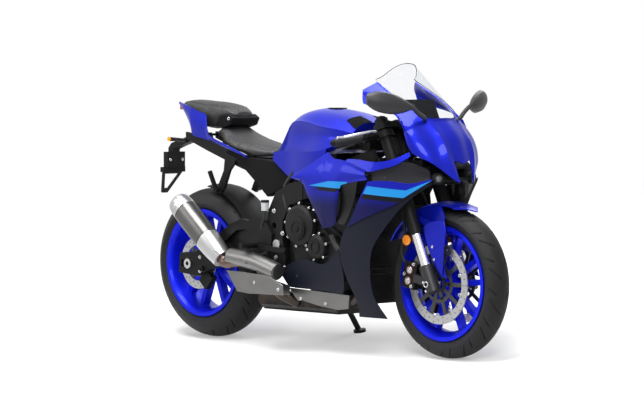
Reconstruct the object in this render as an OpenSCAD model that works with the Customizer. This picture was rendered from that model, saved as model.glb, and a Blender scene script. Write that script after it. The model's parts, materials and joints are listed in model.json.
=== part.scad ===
// Sport motorcycle with full fairing, parked on its side stand.
// Bike frame used by every module: +X forward, +Y to the rider's left, +Z up,
// zero on the ground below the rear axle while the machine is upright.
// parked() then leans the whole machine onto its stand.

/* [Wheels] */
// Distance between the axles
wheelbase = 1405; // [1380:1:1440]
// Front tyre outside diameter
front_tyre_d = 598; // [590:1:604]
// Front tyre width
front_tyre_w = 120; // [110:1:124]
// Rear tyre outside diameter
rear_tyre_d = 636; // [628:1:644]
// Rear tyre width
rear_tyre_w = 190; // [180:1:194]
// Bead seat diameter of both rims
rim_d = 432; // [428:1:436]
// Front rim width between the flanges
front_rim_w = 89; // [84:1:92]
// Rear rim width between the flanges
rear_rim_w = 152; // [146:1:156]
// Number of forked spokes in each wheel
spoke_pairs = 5; // [5:1:6]
// Front brake disc diameter
front_disc_d = 320; // [310:1:322]
// Rear brake disc diameter
rear_disc_d = 220; // [210:1:224]

/* [Steering] */
// Angle of the steering axis behind the vertical
rake = 24; // [23.5:0.1:24.5]
// Trail on the ground
trail = 102; // [98:1:106]
// Distance between the fork legs
fork_gap = 210; // [206:1:214]
// Outside diameter of the upper fork tubes
fork_tube_d = 54; // [52:1:55]
// Diameter of the chromed lower fork tubes
fork_slider_d = 43; // [41:1:45]
// Sweep of the handlebars behind square
bar_sweep = 20; // [18:1:23]
// Length of one handlebar from its fork tube
bar_length = 240; // [232:1:246]

/* [Stand] */
// Lean of the parked machine
lean = 10; // [9:0.5:11]
// Distance of the stand's foot from the tyre line
stand_reach = 250; // [244:1:256]
// Diameter of the stand's leg
stand_leg_d = 24; // [20:1:26]

/* [Drive] */
// Pitch of the chain
chain_pitch = 15.875; // [15.5:0.005:16]
// Teeth of the rear sprocket
rear_teeth = 41; // [39:1:42]
// Teeth of the gearbox sprocket
front_teeth = 16; // [15:1:16]

/* [Bodywork] */
// Thickness of the moulded panels
panel_t = 4; // [3:0.5:5]
// Thickness of the screen
screen_t = 3.5; // [3:0.5:4.5]
// Half width of the fairing at its shoulder
fairing_half_w = 235; // [230:1:240]
// Gap between neighbouring panels
seam = 0.4; // [0.3:0.1:0.8]
// Top of the windscreen above the ground
screen_top_z = 1168; // [1155:1:1180]
// Height of the fuel tank's crown
tank_top_z = 985; // [978:1:992]
// Distance of the mirrors' tips from the middle
mirror_tip = 330; // [324:1:336]
// Distance of the footrests' tips from the middle
peg_tip = 266; // [260:1:270]

/* [Hidden] */
$fn = 48;

front_r = front_tyre_d / 2;
rear_r = rear_tyre_d / 2;
fit = 0.05;
run = 5;
front_axle_p = [wheelbase, 0, front_r];
rear_axle_p = [0, 0, rear_r];
steer_x = wheelbase + trail;
fork_offset = front_r * sin(rake) - trail * cos(rake);
axle_up = front_r * cos(rake) + trail * sin(rake);
crown_lift = (rear_tyre_w + front_tyre_w) / 4 * (1 - cos(lean));

mirror_z = 1026;
peg_z = 416;
peg_x = 456;
// Origin at the middle of the parked machine's floor area
tail_end_x = -358;
origin_x = (tail_end_x + wheelbase + front_r) / 2;
origin_y = (mirror_tip * cos(lean) + mirror_z * sin(lean)
    - peg_tip * cos(lean) + peg_z * sin(lean)) / 2;

body_blue = [0.03, 0.06, 0.62];
navy = [0.07, 0.08, 0.13];
black = [0.03, 0.03, 0.035];
steel = [0.62, 0.62, 0.62];

module parked() {
    translate([-origin_x, -origin_y, crown_lift]) rotate([-lean, 0, 0]) children();
}
// Frame of the steering axis: local Z runs up the axis, local X points forward
module steer() {
    translate([steer_x, 0, 0]) rotate([0, -rake, 0]) children();
}
module both_sides() {
    children();
    mirror([0, 1, 0]) children();
}
// Local Z runs to the rider's right
module across() {
    rotate([90, 0, 0]) children();
}

// Curves and surfaces

function bend(a, b, c, d, t) = 0.5 * (2 * b + (c - a) * t + (2 * a - 5 * b + 4 * c - d) * t * t
    + (3 * b - a - 3 * c + d) * t * t * t);
function through(p, n) = let (m = len(p) - 1) concat(
    [for (i = [0 : m - 1]) for (k = [0 : n - 1])
        bend(p[max(i - 1, 0)], p[i], p[i + 1], p[min(i + 2, m)], k / n)],
    [p[m]]);
function transpose(g) = [for (j = [0 : len(g[0]) - 1]) [for (i = [0 : len(g) - 1]) g[i][j]]];
function fine(g, nu, nv) =
    transpose([for (c = transpose([for (r = g) through(r, nu)])) through(c, nv)]);
function flat(g) = [for (r = g) for (p = r) p];
function unit(v) = v / norm(v);
function reversed(p) = [for (i = [len(p) - 1 : -1 : 0]) p[i]];
// A row given from the middle plane to the right side, completed to the left
function whole_row(p) = concat(reversed(p),
    [for (i = [1 : len(p) - 1]) [p[i][0], -p[i][1], p[i][2]]]);
function slope(table, i) = let (a = max(i - 1, 0), b = min(i + 1, len(table) - 1))
    (table[b][1] - table[a][1]) / (table[b][0] - table[a][0]);
function part_of(table, x) = max([for (i = [0 : len(table) - 2]) table[i][0] <= x ? i : 0]);
// Smooth reading of a table of [place, value] rows in rising order
function read(table, x) = let (
    c = min(max(x, table[0][0]), table[len(table) - 1][0]),
    i = part_of(table, c), h = table[i + 1][0] - table[i][0], t = (c - table[i][0]) / h)
    (1 + 2 * t) * (1 - t) * (1 - t) * table[i][1] + t * (1 - t) * (1 - t) * h * slope(table, i)
    + t * t * (3 - 2 * t) * table[i + 1][1] + t * t * (t - 1) * h * slope(table, i + 1);

function normal_at(g, i, j) = let (m = len(g) - 1, n = len(g[0]) - 1)
    unit(cross(g[i][min(j + 1, n)] - g[i][max(j - 1, 0)], g[min(i + 1, m)][j] - g[max(i - 1, 0)][j]));

// Moulded panel: a grid of points, thickened against the side its normals point to
module panel(g, t) {
    m = len(g);
    n = len(g[0]);
    inner = [for (i = [0 : m - 1]) [for (j = [0 : n - 1]) g[i][j] - t * normal_at(g, i, j)]];
    k = m * n;
    function at(i, j) = i * n + j;
    polyhedron(concat(flat(g), flat(inner)), concat(
        [for (i = [0 : m - 2]) for (j = [0 : n - 2]) each [
            [at(i, j), at(i + 1, j), at(i + 1, j + 1)],
            [at(i, j), at(i + 1, j + 1), at(i, j + 1)],
            [k + at(i, j), k + at(i + 1, j + 1), k + at(i + 1, j)],
            [k + at(i, j), k + at(i, j + 1), k + at(i + 1, j + 1)]]],
        [for (j = [0 : n - 2]) each [
            [at(0, j), at(0, j + 1), k + at(0, j + 1)],
            [at(0, j), k + at(0, j + 1), k + at(0, j)],
            [at(m - 1, j), k + at(m - 1, j + 1), at(m - 1, j + 1)],
            [at(m - 1, j), k + at(m - 1, j), k + at(m - 1, j + 1)]]],
        [for (i = [0 : m - 2]) each [
            [at(i, 0), k + at(i + 1, 0), at(i + 1, 0)],
            [at(i, 0), k + at(i, 0), k + at(i + 1, 0)],
            [at(i, n - 1), at(i + 1, n - 1), k + at(i + 1, n - 1)],
            [at(i, n - 1), k + at(i + 1, n - 1), k + at(i, n - 1)]]]));
}

// Closed solid through rings, each running down the right side and up the left
module loft(rings) {
    m = len(rings);
    n = len(rings[0]);
    function at(i, j) = i * n + j % n;
    function middle(r) = [for (a = [0 : 2]) [for (p = r) p[a]] * [for (p = r) 1] / n];
    polyhedron(concat(flat(rings), [middle(rings[0]), middle(rings[m - 1])]), concat(
        [for (i = [0 : m - 2]) for (j = [0 : n - 1]) each [
            [at(i, j), at(i + 1, j), at(i + 1, j + 1)],
            [at(i, j), at(i + 1, j + 1), at(i, j + 1)]]],
        [for (j = [0 : n - 1]) [m * n, at(0, j), at(0, j + 1)]],
        [for (j = [0 : n - 1]) [m * n + 1, at(m - 1, j + 1), at(m - 1, j)]]));
}
// Ring from a half section that runs from the top centre to the bottom centre
function ring(half) = concat(half, [for (i = [len(half) - 2 : -1 : 1])
    [half[i][0], -half[i][1], half[i][2]]]);

// Round tube swept along a path
function tangent(p, i) = unit(p[min(i + 1, len(p) - 1)] - p[max(i - 1, 0)]);
module tube(path, r, sides = 10, ref = [0, 1, 0]) {
    loft([for (i = [0 : len(path) - 1]) let (
        t = tangent(path, i), s = unit(cross(ref, t)), u = cross(t, s))
        [for (k = [0 : sides - 1]) path[i] + r * (s * cos(360 * k / sides) + u * sin(360 * k / sides))]]);
}
// Flat outline in the bike's side view, standing between two distances from the middle
module side_plate(outline, y0, y1) {
    translate([0, max(y0, y1), 0]) rotate([90, 0, 0]) linear_extrude(abs(y1 - y0)) polygon(outline);
}
module pin_y(p, r, y0, y1) {
    translate([p[0], max(y0, y1), p[2]]) across() cylinder(r = r, h = abs(y1 - y0));
}

// Wheels and brakes

module rim(w, hub_r, hub_half, bore_r, spoke_half) {
    bead = rim_d / 2;
    flange = bead + 13;
    half = w / 2 + 7;
    land = 4;
    color(body_blue) across() difference() {
        union() {
            rotate_extrude() polygon([
                [bead - 3, -half], [flange, -half], [flange, 7 - half], [bead, 12 - half],
                [bead, half - 12], [flange, half - 7], [flange, half], [bead - 3, half],
                [bead - 14, half - 16], [bead - 24, spoke_half + land], [bead - 24, -spoke_half - land],
                [bead - 14, 16 - half]]);
            translate([0, 0, -hub_half]) cylinder(r = hub_r, h = 2 * hub_half);
            for (k = [0 : spoke_pairs - 1]) rotate(360 * k / spoke_pairs + 18)
                translate([0, 0, -spoke_half]) linear_extrude(2 * spoke_half) forked_spoke(hub_r, bead);
        }
        translate([0, 0, -hub_half - 1]) cylinder(r = bore_r, h = 2 * hub_half + 2);
    }
}
// Two legs that part at the hub and meet the rim a third of a pitch either side
module forked_spoke(hub_r, bead) {
    spread = 360 / spoke_pairs * 0.2;
    root = hub_r - 6;
    tip = bead - 20;
    wide = 17;
    narrow = 11;
    for (s = [-1, 1]) polygon([
        [root * cos(0), s * -4], [tip * cos(spread) + narrow * sin(spread), s * (tip * sin(spread) - narrow)],
        [tip * cos(spread) - narrow * sin(spread), s * (tip * sin(spread) + narrow)],
        [root * cos(0), s * (wide + 6)]]);
}
// Tyre section: round crown, sidewalls and beads that sit on the rim
module tyre(r, w, rim_w, crown_share) {
    bead = rim_d / 2 + fit;
    seat_half = rim_w / 2 - 5 - fit;
    shoulder = 72;
    rise = (r - bead - 19) * crown_share / (1 - cos(shoulder));
    color(black) across() rotate_extrude() polygon(concat(
        [[bead, -seat_half], [bead + 13 + fit, -seat_half - 1], [bead + 19, -seat_half - 9]],
        [for (a = [-shoulder : 9 : shoulder]) [r - rise * (1 - cos(a)), w / 2 * sin(a)]],
        [[bead + 19, seat_half + 9], [bead + 13 + fit, seat_half + 1], [bead, seat_half],
         [bead + 9, seat_half - 10], [r - 18, seat_half * 0.6], [r - 12, 0],
         [r - 18, -seat_half * 0.6], [bead + 9, 10 - seat_half]]));
}
// Drilled brake ring on a carrier with arms
module disc(r, ring_w, t, carrier_r, bore_r, arms, rows) color(steel) linear_extrude(t) difference() {
    union() {
        difference() {
            circle(r);
            circle(r - ring_w);
        }
        difference() {
            circle(carrier_r);
            circle(carrier_r - 14);
        }
        for (k = [0 : arms - 1]) rotate(360 * k / arms)
            translate([bore_r + 4, -8]) square([r - ring_w - bore_r + 2, 16]);
        circle(bore_r + 10);
    }
    circle(bore_r);
    for (q = [0 : rows - 1]) for (k = [0 : 17]) rotate(20 * k + 10 * q)
        translate([r - ring_w * (q + 0.7) / (rows + 0.4), 0]) circle(3);
}
front_hub_half = 62;
rear_hub_half = 96;
front_axle_r = 12.5;
rear_axle_r = 14;
disc_t = 5;
front_disc_y = front_hub_half + 0.3;
rear_disc_y = rear_hub_half + 0.3;

module front_rim() translate(front_axle_p) rim(front_rim_w, 40, front_hub_half, front_axle_r + fit, 15);
module front_tyre() translate(front_axle_p) tyre(front_r, front_tyre_w, front_rim_w, 0.65);
module front_discs() translate(front_axle_p) both_sides() translate([0, -front_disc_y, 0]) across()
    disc(front_disc_d / 2, 33, disc_t, 76, front_axle_r + 12, 10, 3);
module rear_rim() translate(rear_axle_p) rim(rear_rim_w, 48, rear_hub_half, rear_axle_r + fit, 18);
module rear_tyre() translate(rear_axle_p) tyre(rear_r, rear_tyre_w, rear_rim_w, 0.79);
module rear_disc() translate(rear_axle_p) translate([0, -rear_disc_y, 0]) across()
    disc(rear_disc_d / 2, 34, disc_t, 58, rear_axle_r + 12, 6, 2);

// Chain drive on the left side

function pitch_r(teeth) = chain_pitch / 2 / sin(180 / teeth);
rear_pitch_r = pitch_r(rear_teeth);
front_pitch_r = pitch_r(front_teeth);
chain_y = 108;
chain_plate_gap = 8;
sprocket_t = 6;
// [out from the pitch circle, along it] round one tooth
tooth = [[-5, -5], [4, -1.5], [4, 1.5], [-5, 5]];
sprocket_p = [662, chain_y, 425];

module rear_sprocket() color([0.3, 0.3, 0.32]) translate([0, chain_y + sprocket_t / 2, rear_r]) across()
    difference() {
        union() {
            linear_extrude(sprocket_t) polygon([for (k = [0 : rear_teeth - 1]) for (q = tooth)
                let (a = 360 * k / rear_teeth)
                (rear_pitch_r + q[0]) * [cos(a), sin(a)] + q[1] * [-sin(a), cos(a)]]);
            translate([0, 0, sprocket_t / 2]) cylinder(r = 44, h = chain_y - rear_hub_half - 0.3);
        }
        translate([0, 0, -1]) cylinder(r = rear_axle_r + 12, h = 40);
        for (k = [0 : 4]) rotate(72 * k) translate([72, 0, -1]) cylinder(r = 14, h = sprocket_t + 2);
    }

// Loop of link plates: straight runs tangent to both sprockets, with rollers on the runs
chain_a = asin((rear_pitch_r - front_pitch_r) / norm([sprocket_p[0], sprocket_p[2] - rear_r]));
chain_tilt = atan2(sprocket_p[2] - rear_r, sprocket_p[0]);
chain_span = norm([sprocket_p[0], sprocket_p[2] - rear_r]) * cos(chain_a);
link_half_h = 7.5;
function chain_loop(grow) = concat(
    [for (a = [90 + chain_a : 6 : 270 - chain_a]) (rear_pitch_r + grow) * [cos(a), sin(a)]],
    [for (a = [-90 - chain_a : 10 : 90 + chain_a]) [norm([sprocket_p[0], sprocket_p[2] - rear_r]), 0]
        + (front_pitch_r + grow) * [cos(a), sin(a)]]);
module chain() color([0.5, 0.45, 0.3]) translate([0, chain_y, rear_r]) rotate([90, 0, 0]) rotate(chain_tilt) {
    for (s = [-1, 1]) translate([0, 0, s * (chain_plate_gap / 2 + 2.5) - 2.5]) linear_extrude(5)
        difference() {
            polygon(chain_loop(link_half_h));
            polygon(chain_loop(-link_half_h));
        }
    for (s = [-1, 1]) for (k = [3 : floor(chain_span / chain_pitch) - 3])
        translate([rear_pitch_r * sin(chain_a), s * rear_pitch_r * cos(chain_a), 0])
            rotate(-s * chain_a) translate([k * chain_pitch, 0, -chain_plate_gap / 2 - 1])
                cylinder(r = 4.6, h = chain_plate_gap + 2);
}

// Frame, subframe and swingarm

pivot_p = [570, 0, 423];
frame_in = 133;
frame_out = 163;
spar_toe = 11;
spar_x = 720;
shock_top = [540, 0, 590];
shock_tube_r = 20;
tank_floor = 800;
head_low = 826;
head_high = 969.5;
head_r = 30;
stem_r = 16;
// Side view of the rear frame plate around the swingarm pivot
pivot_plate = [
    [720, 690], [640, 676], [560, 640], [512, 560], [500, 470], [512, 370], [545, 300],
    [606, 292], [620, 372], [598, 440], [600, 520], [640, 588], [720, 612]];
// Side view of the front spar, drawn behind its hinge line at the pivot plate
front_spar = [[720, 612], [900, 672], [1066, 734], [1078, 776], [1060, 822], [900, 768], [720, 690]];

module frame() color(black) {
    difference() {
        union() {
            both_sides() side_plate(pivot_plate, -frame_in, -frame_out);
            both_sides() translate([spar_x, -(frame_in + frame_out) / 2, 0]) rotate(spar_toe)
                translate([-spar_x, 0, 0]) side_plate(front_spar, -14, 14);
            steer() translate([0, 0, head_low]) cylinder(r = head_r, h = head_high - head_low);
            // web between the spars and the steering head
            steer() translate([-100, -84, head_low + 14]) cube([36, 168, 52]);
            steer() translate([-70, -50, head_low + 14]) cube([60, 100, 52]);
            // cross tube above the pivot, which carries the shock absorber
            pin_y(shock_top, shock_tube_r, -frame_in, frame_in);
            both_sides() tank_post();
            both_sides() pin_y([800, 0, 690], 9, -140, panel_inside(800, 690));
            at_stand() stand_bracket();
        }
        steer() translate([0, 0, head_low - 1]) cylinder(r = stem_r + fit, h = head_high - head_low + 2);
        pin_y(pivot_p, 12 + fit, -frame_out - 1, frame_out + 1);
        both_sides() pin_y([548, 0, 500], 13, -frame_out - 1, -frame_in + 1);
    }
}
// Post under the tank with a peg for the side cover
post_p = [740, -136, 690];
module tank_post() {
    translate(post_p) cylinder(r = 9, h = tank_floor - seam - post_p[2]);
    pin_y([post_p[0], 0, 762], 7, post_p[1], -read(cover_y, post_p[0]) - cover_out + panel_t + 1.4 * peg_gap);
}
// Two cheeks and a pin that hold the stand, on a block under the left plate
module stand_bracket() {
    for (z = [-stand_eye / 2 - seam - 8, stand_eye / 2 + seam]) translate([0, 0, z]) {
        cylinder(r = 14, h = 8);
        translate([-44, -14, 0]) cube([44, 28, 8]);
    }
    translate([-46, -24, -stand_eye / 2 - seam - 8]) cube([24, 48, stand_eye + 2 * seam + 16]);
    cylinder(r = 6, h = stand_eye + 20, center = true);
}
swing_in = 124;
swing_out = 152;
// Side view of one swingarm beam with its upper brace
swing_beam = [
    [-68, rear_r - 40], [-60, rear_r + 44], [44, rear_r + 52], [150, 424], [262, 496], [330, 520],
    [402, 508], [482, 442], [482, 384], [400, 366], [260, 330], [120, 296], [50, rear_r - 50]];
// Slot of the chain adjuster behind the axle
adjuster = [-50, 26, 15];
swing_window = [[196, 404], [300, 470], [352, 478], [400, 462], [420, 436], [300, 388], [216, 372]];

module swingarm() color(black) difference() {
    union() {
        pin_y(pivot_p, 22, -128, 128);
        both_sides() difference() {
            side_plate(swing_beam, -swing_in, -swing_out);
            side_plate(swing_window, -swing_in - 8, -swing_out - 1);
            translate([adjuster[0], -swing_out - 1, rear_r - adjuster[2]])
                cube([adjuster[1], 9, 2 * adjuster[2]]);
        }
        both_sides() translate([0, 0, 388]) linear_extrude(50)
            polygon([[572, -96], [572, -128], [494, -128], [478, -swing_out], [440, -swing_out],
                     [440, -swing_in], [480, -112], [500, -96]]);
        translate([372, -swing_in - 1, 376]) cube([80, 2 * swing_in + 2, 44]);
        both_sides() pin_y([86, 0, 300], 11, -swing_out, -swing_out - 10);
    }
    pin_y(pivot_p, 12 + fit, -130, 130);
    pin_y(rear_axle_p, rear_axle_r + fit, -200, 200);
    both_sides() pin_y([86, 0, 300], 4, -swing_in - 6, -swing_out - 12);
}
module rear_axle() color(steel) {
    pin_y(pivot_p, 12, -frame_out - 10, frame_out + 10);
    both_sides() pin_y(pivot_p, 20, -frame_out - 0.3, -frame_out - 10);
    difference() {
        union() {
            pin_y(rear_axle_p, rear_axle_r, -swing_out - 12, swing_out + 12);
            both_sides() pin_y(rear_axle_p, 21, -swing_out - 0.3, -swing_out - 12);
            // spacers between the hub and the arms
            both_sides() pin_y(rear_axle_p, rear_axle_r + 6, -rear_hub_half - 0.5, -swing_in + 0.3);
        }
        pin_y(rear_axle_p, 9, -200, 200);
    }
}
seat_rail = [[560, 622], [612, 622], [606, 698], [470, 748], [330, 762], [72, 850], [62, 874], [18, 874],
             [10, 856], [-90, 874], [-90, 846], [40, 800], [250, 732], [400, 690]];
module subframe() color(black) {
    both_sides() side_plate(seat_rail, -76, -92);
    for (c = subframe_ties) translate([c[0] - 13, -77, c[1] - 10]) cube([26, 154, 10]);
    // rests under the two seats
    for (c = [subframe_ties[1], subframe_ties[2]]) translate([c[0], 0, c[1] - 1])
        cylinder(r1 = 10, r2 = 1, h = c[2] - c[1] + 1 - seam);
    both_sides() translate([570, -frame_in + seam, 622]) cube([40, frame_in - 90, 22]);
    both_sides() pin_y([tail_peg[0], 0, tail_peg[1]], 5, -90, -tail_peg[2] + panel_t);
}
// Cross ties. columns: x, top z, z of the seat above
subframe_ties = [[490, 740, 0], [250, 770, 794], [60, 830, 888], [-76, 866, 0]];
module rear_shock() {
    bottom = [430, 0, 427.2];
    dir = shock_top - bottom;
    long = norm(dir) - shock_tube_r - seam;
    translate(bottom) rotate([0, atan2(dir[0], dir[2]), 0]) {
        color([0.7, 0.7, 0.72]) cylinder(r = 12, h = long);
        color([0.7, 0.7, 0.72]) translate([0, 0, long - 74]) cylinder(r = 30, h = 58);
        color([0.75, 0.62, 0.1]) for (k = [0 : 5]) translate([0, 0, 16 + 14 * k]) rotate_extrude()
            translate([17, 0]) circle(r = 5.5);
    }
}
// Engine block, covers, radiator and exhaust

// Side view of the crankcase with the inclined cylinders and head
crankcase = [[606, 300], [640, 246], [900, 246], [962, 300], [972, 420], [900, 482], [760, 560],
             [640, 560], [614, 470]];
cylinders = [[790, 470], [906, 400], [986, 470], [1022, 560], [936, 640], [816, 640], [760, 560]];
head_face = [1004, 515];
head_normal = [0.928, -0.371];
module engine() color(black) union() {
    difference() {
        union() {
            side_plate(crankcase, -frame_in + seam, frame_in - seam);
            side_plate([[690, 300], [930, 300], [950, 420], [760, 540], [650, 540], [650, 400]], -152, 150);
        }
        // pocket for the chain on the gearbox sprocket
        translate([590, 92, 356]) cube([140, 42, 140]);
        translate([640, 92, 356]) cube([90, 70, 140]);
    }
    pin_y(sprocket_p, 14, 90, chain_y + sprocket_t / 2);
    pin_y(sprocket_p, front_pitch_r - 5, chain_y - sprocket_t / 2, chain_y + sprocket_t / 2);
    for (k = [-1.5 : 1 : 1.5]) translate([0, 58 * k, 0]) side_plate(cylinders, -27, 27);
    side_plate([[840, 500], [956, 470], [1006, 548], [926, 626], [830, 620]], -119, 119);
    // sump
    translate([690, -90, 222]) cube([190, 180, 40]);
    both_sides() pin_y([764, 0, 322], 9, -150, lower_inside(764, 322));
}
// columns: x, z, radius, how far the face stands from the middle
right_covers = [[716, 508, 82, 188], [814, 424, 50, 184]];
left_covers = [[810, 436, 58, 182]];
module engine_covers() color(black) {
    for (c = right_covers) pin_y([c[0], 0, c[1]], c[2], -152.3, -c[3] + 8);
    for (c = right_covers)
        translate([c[0], -c[3] + 8, c[1]]) across() cylinder(r1 = c[2], r2 = c[2] - 12, h = 8);
    pin_y([722, 0, 494], 44, -188, -198);
    for (c = left_covers) pin_y([c[0], 0, c[1]], c[2], 150.3, c[3] - 8);
    for (c = left_covers) translate([c[0], c[3] - 8, c[1]]) mirror([0, 1, 0]) across()
        cylinder(r1 = c[2], r2 = c[2] - 14, h = 8);
    // gearbox sprocket cover
    side_plate([[646, 344], [742, 338], [756, 420], [742, 512], [656, 514], [636, 440]], 150.3, 162);
}

radiator_x = 1060;
module radiator() color([0.06, 0.06, 0.065]) {
    // fins of the water radiator and of the oil cooler below it
    translate([radiator_x, 0, 300]) {
        difference() {
            translate([0, -178, 40]) cube([26, 356, 250]);
            for (k = [0 : 27]) translate([18, -160, 50 + 8.4 * k]) cube([9, 320, 4]);
        }
        both_sides() translate([-4, -190, 36]) cube([34, 13, 258]);
        difference() {
            translate([0, -140, -96]) cube([26, 280, 122]);
            for (k = [0 : 12]) translate([18, -126, -88 + 8.4 * k]) cube([9, 252, 4]);
        }
        translate([4, -100, 25]) cube([12, 200, 16]);
    }
    // stays to the cylinder head, and pegs for the fairing
    both_sides() translate([1019.2, -64, 540]) cube([radiator_x - 1018, 12, 12]);
    both_sides() pin_y([radiator_x + 26, 0, 552], 4, -188, panel_inside(radiator_x + 26, 552));
}
exhaust_y = -214;
collector_low = 148;
module exhaust_pipes() color([0.23, 0.2, 0.18]) {
    for (k = [-1.5 : 1 : 1.5]) let (p = head_face, n = head_normal) tube(through([
        [p[0] + seam * n[0], 58 * k, p[1] + seam * n[1]], [p[0] + 9 * n[0], 58 * k, p[1] + 9 * n[1]],
        [p[0] + 18 * n[0], 58 * k, p[1] + 18 * n[1]],
        [1034, 58 * k, 466], [1032, 56 * k, 380], [1006, 52 * k, 284], [930, 44 * k, 208],
        [860, 36 * k, 200]], 2), 19, 10);
    // collector and silencer chamber under the engine
    difference() {
        union() {
            translate([420, -118, collector_low]) cube([452, 236, 66]);
            side_plate([[421, 214], [421, 148], [396, 180], [396, 205]], -112, 112);
        }
        both_sides() translate([390, -118, collector_low - 14]) rotate([45, 0, 0]) cube([500, 24, 24]);
    }
    // link pipe to the silencer
    link_pipe(link_r);
}
link_r = 26;
link_start = [[640, -106, 188], [606, -142, 208], [566, -184, 250]];
link_run = [[548, exhaust_y, 296], [530, exhaust_y, 326], [480, exhaust_y, 345], [420, exhaust_y, 350],
            [360, exhaust_y, 345]];
module link_pipe(r) tube(through(concat(link_start, link_run,
    [for (k = [24, 6, -16]) muffler_end + (muffler_long + k) * muffler_run]), 2), r, 12, [0, 0, 1]);
// Bright sleeve round the link pipe, a plate below it and one along the belly, in side view
sleeve_gap = 3;
sleeve_t = 5;
link_plate = [[306, 306], [420, 304], [540, 290], [690, 262], [694, 224], [450, 216], [372, 222]];
sleeve_line = [[342, exhaust_y, 366], [486, exhaust_y, 350], [626, exhaust_y, 314]];
sleeve_bore = [for (k = [0, 1, 2]) sleeve_line[1] + (sleeve_line[k] - sleeve_line[1]) * 2];
sleeve_r = 36;
sleeve_pin = [468, 0, 349];
belly_shield = [[648, 250], [1006, 236], [1000, 182], [940, 174], [820, 186], [692, 208]];
module exhaust_shields() color(steel) {
    difference() {
        tube(through(sleeve_line, 4), sleeve_r, 16, [0, 0, 1]);
        tube(through(sleeve_bore, 4), sleeve_r - sleeve_t, 16, [0, 0, 1]);
        link_pipe(link_r + sleeve_gap);
    }
    pin_y(sleeve_pin, 8, exhaust_y - link_r - seam, exhaust_y - sleeve_r - 2);
    difference() {
        side_plate(link_plate, exhaust_y + 8, exhaust_y + 4);
        tube(through(sleeve_line, 4), sleeve_r + 2 * seam, 16, [0, 0, 1]);
        link_pipe(link_r + seam);
    }
    side_plate(belly_shield, -168, -172);
    for (x = [700, 850]) pin_y([x, 0, 206], 7, -118 - seam, -169);
}
muffler_end = [2, exhaust_y, 584];
muffler_long = 366;
muffler_run = [0.7745, 0, -0.6326];
muffler_turn = atan2(muffler_run[0], muffler_run[2]);
// Sections along the silencer. columns: place from the open end, half height, half width
muffler_sections = [[0, 42, 40], [14, 49, 46], [50, 53, 49], [236, 53, 49], [292, 49, 46],
                    [muffler_long, 41, 38]];
function muffler_ring(s) = [for (a = [0 : 15 : 345]) let (c = cos(a), d = sin(a),
    e = pow(pow(abs(c), 2.6) + pow(abs(d), 2.6), -1 / 2.6)) muffler_end + s[0] * muffler_run
    + [-muffler_run[2], 0, muffler_run[0]] * (s[1] * e * c) + [0, -1, 0] * (s[2] * e * d)];
module muffler() color(steel) difference() {
    loft([for (s = muffler_sections) muffler_ring(s)]);
    translate(muffler_end) rotate([0, muffler_turn, 0]) translate([0, 0, -1]) cylinder(r = 29, h = 60);
    translate(muffler_end + (muffler_long + 8) * muffler_run) rotate([0, muffler_turn - 180, 0])
        cylinder(r = link_r + seam, h = 90);
}
// Rear brake, mudguard and stand

module rear_caliper() color([0.12, 0.12, 0.12]) translate(rear_axle_p) rotate([0, 42, 0]) difference() {
    translate([68, -swing_in + 0.4, -34]) cube([58, 30, 68]);
    translate([0, -rear_disc_y + run, 0]) across()
        cylinder(r = rear_disc_d / 2 + run, h = disc_t + 2 * run);
}
// Mudguard over the tyre: first angle and sweep about the axle
hugger_from = 22;
hugger_sweep = 62;
module rear_hugger() color(black) {
    translate(rear_axle_p) across() rotate(hugger_from) rotate_extrude(angle = hugger_sweep) polygon([
        [rear_r + 8, -78], [rear_r + 12, -78], [rear_r + 18, -50], [rear_r + 22, 0], [rear_r + 18, 50],
        [rear_r + 12, 78], [rear_r + 8, 78], [rear_r + 14, 50], [rear_r + 18, 0], [rear_r + 14, -50]]);
    // arms to the swingarm
    both_sides() translate([284, -swing_in + seam, rear_r + 166]) cube([22, swing_in - 72, 5]);
}
// Bodywork surfaces

// Half width of the fairing seen from above. columns: x, share of the shoulder's half width
fairing_plan = [[560, 0.865], [690, 0.877], [900, 0.94], [1100, 0.996], [1200, 0.979], [1300, 0.868],
                [1390, 0.655], [1470, 0.443]];
// How far the side draws in above and below the shoulder. columns: z, distance
fairing_drop = [[140, 62], [230, 38], [330, 24], [500, 10], [700, 0], [770, 8], [830, 34]];
function fairing_y(x, z) = -(fairing_half_w * read(fairing_plan, x) - read(fairing_drop, z));
// How much longer a step square to the surface is, measured straight across the machine
function slant(x) = norm([1, fairing_half_w * (read(fairing_plan, x + 1) - read(fairing_plan, x - 1)) / 2]);
function on_fairing(p, proud = 0) = [p[0], fairing_y(p[0], p[1]) - proud * slant(p[0]), p[1]];
// Where a peg ends under the upper and under the lower panels
peg_gap = 2.4 * seam;
function panel_inside(x, z) = fairing_y(x, z) + panel_t + peg_gap;
tuck = panel_t + 2.5 * seam;
function lower_inside(x, z) = panel_inside(x, z) + tuck * slant(x) + seam;
// Panel between a low and a high edge given in side view from the tail to the nose.
// The middle of the panel crowns out by a small bulge.
function side_panel(low, high, nu, rows, proud = 0, bulge = 0) = let (
    a = through(low, nu), b = through(high, nu))
    [for (i = [0 : rows]) [for (j = [0 : len(a) - 1]) let (
        t = i / rows, p = a[j] * (1 - t) + b[j] * t)
        on_fairing(p, proud + bulge * 4 * t * (1 - t))]];

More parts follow.
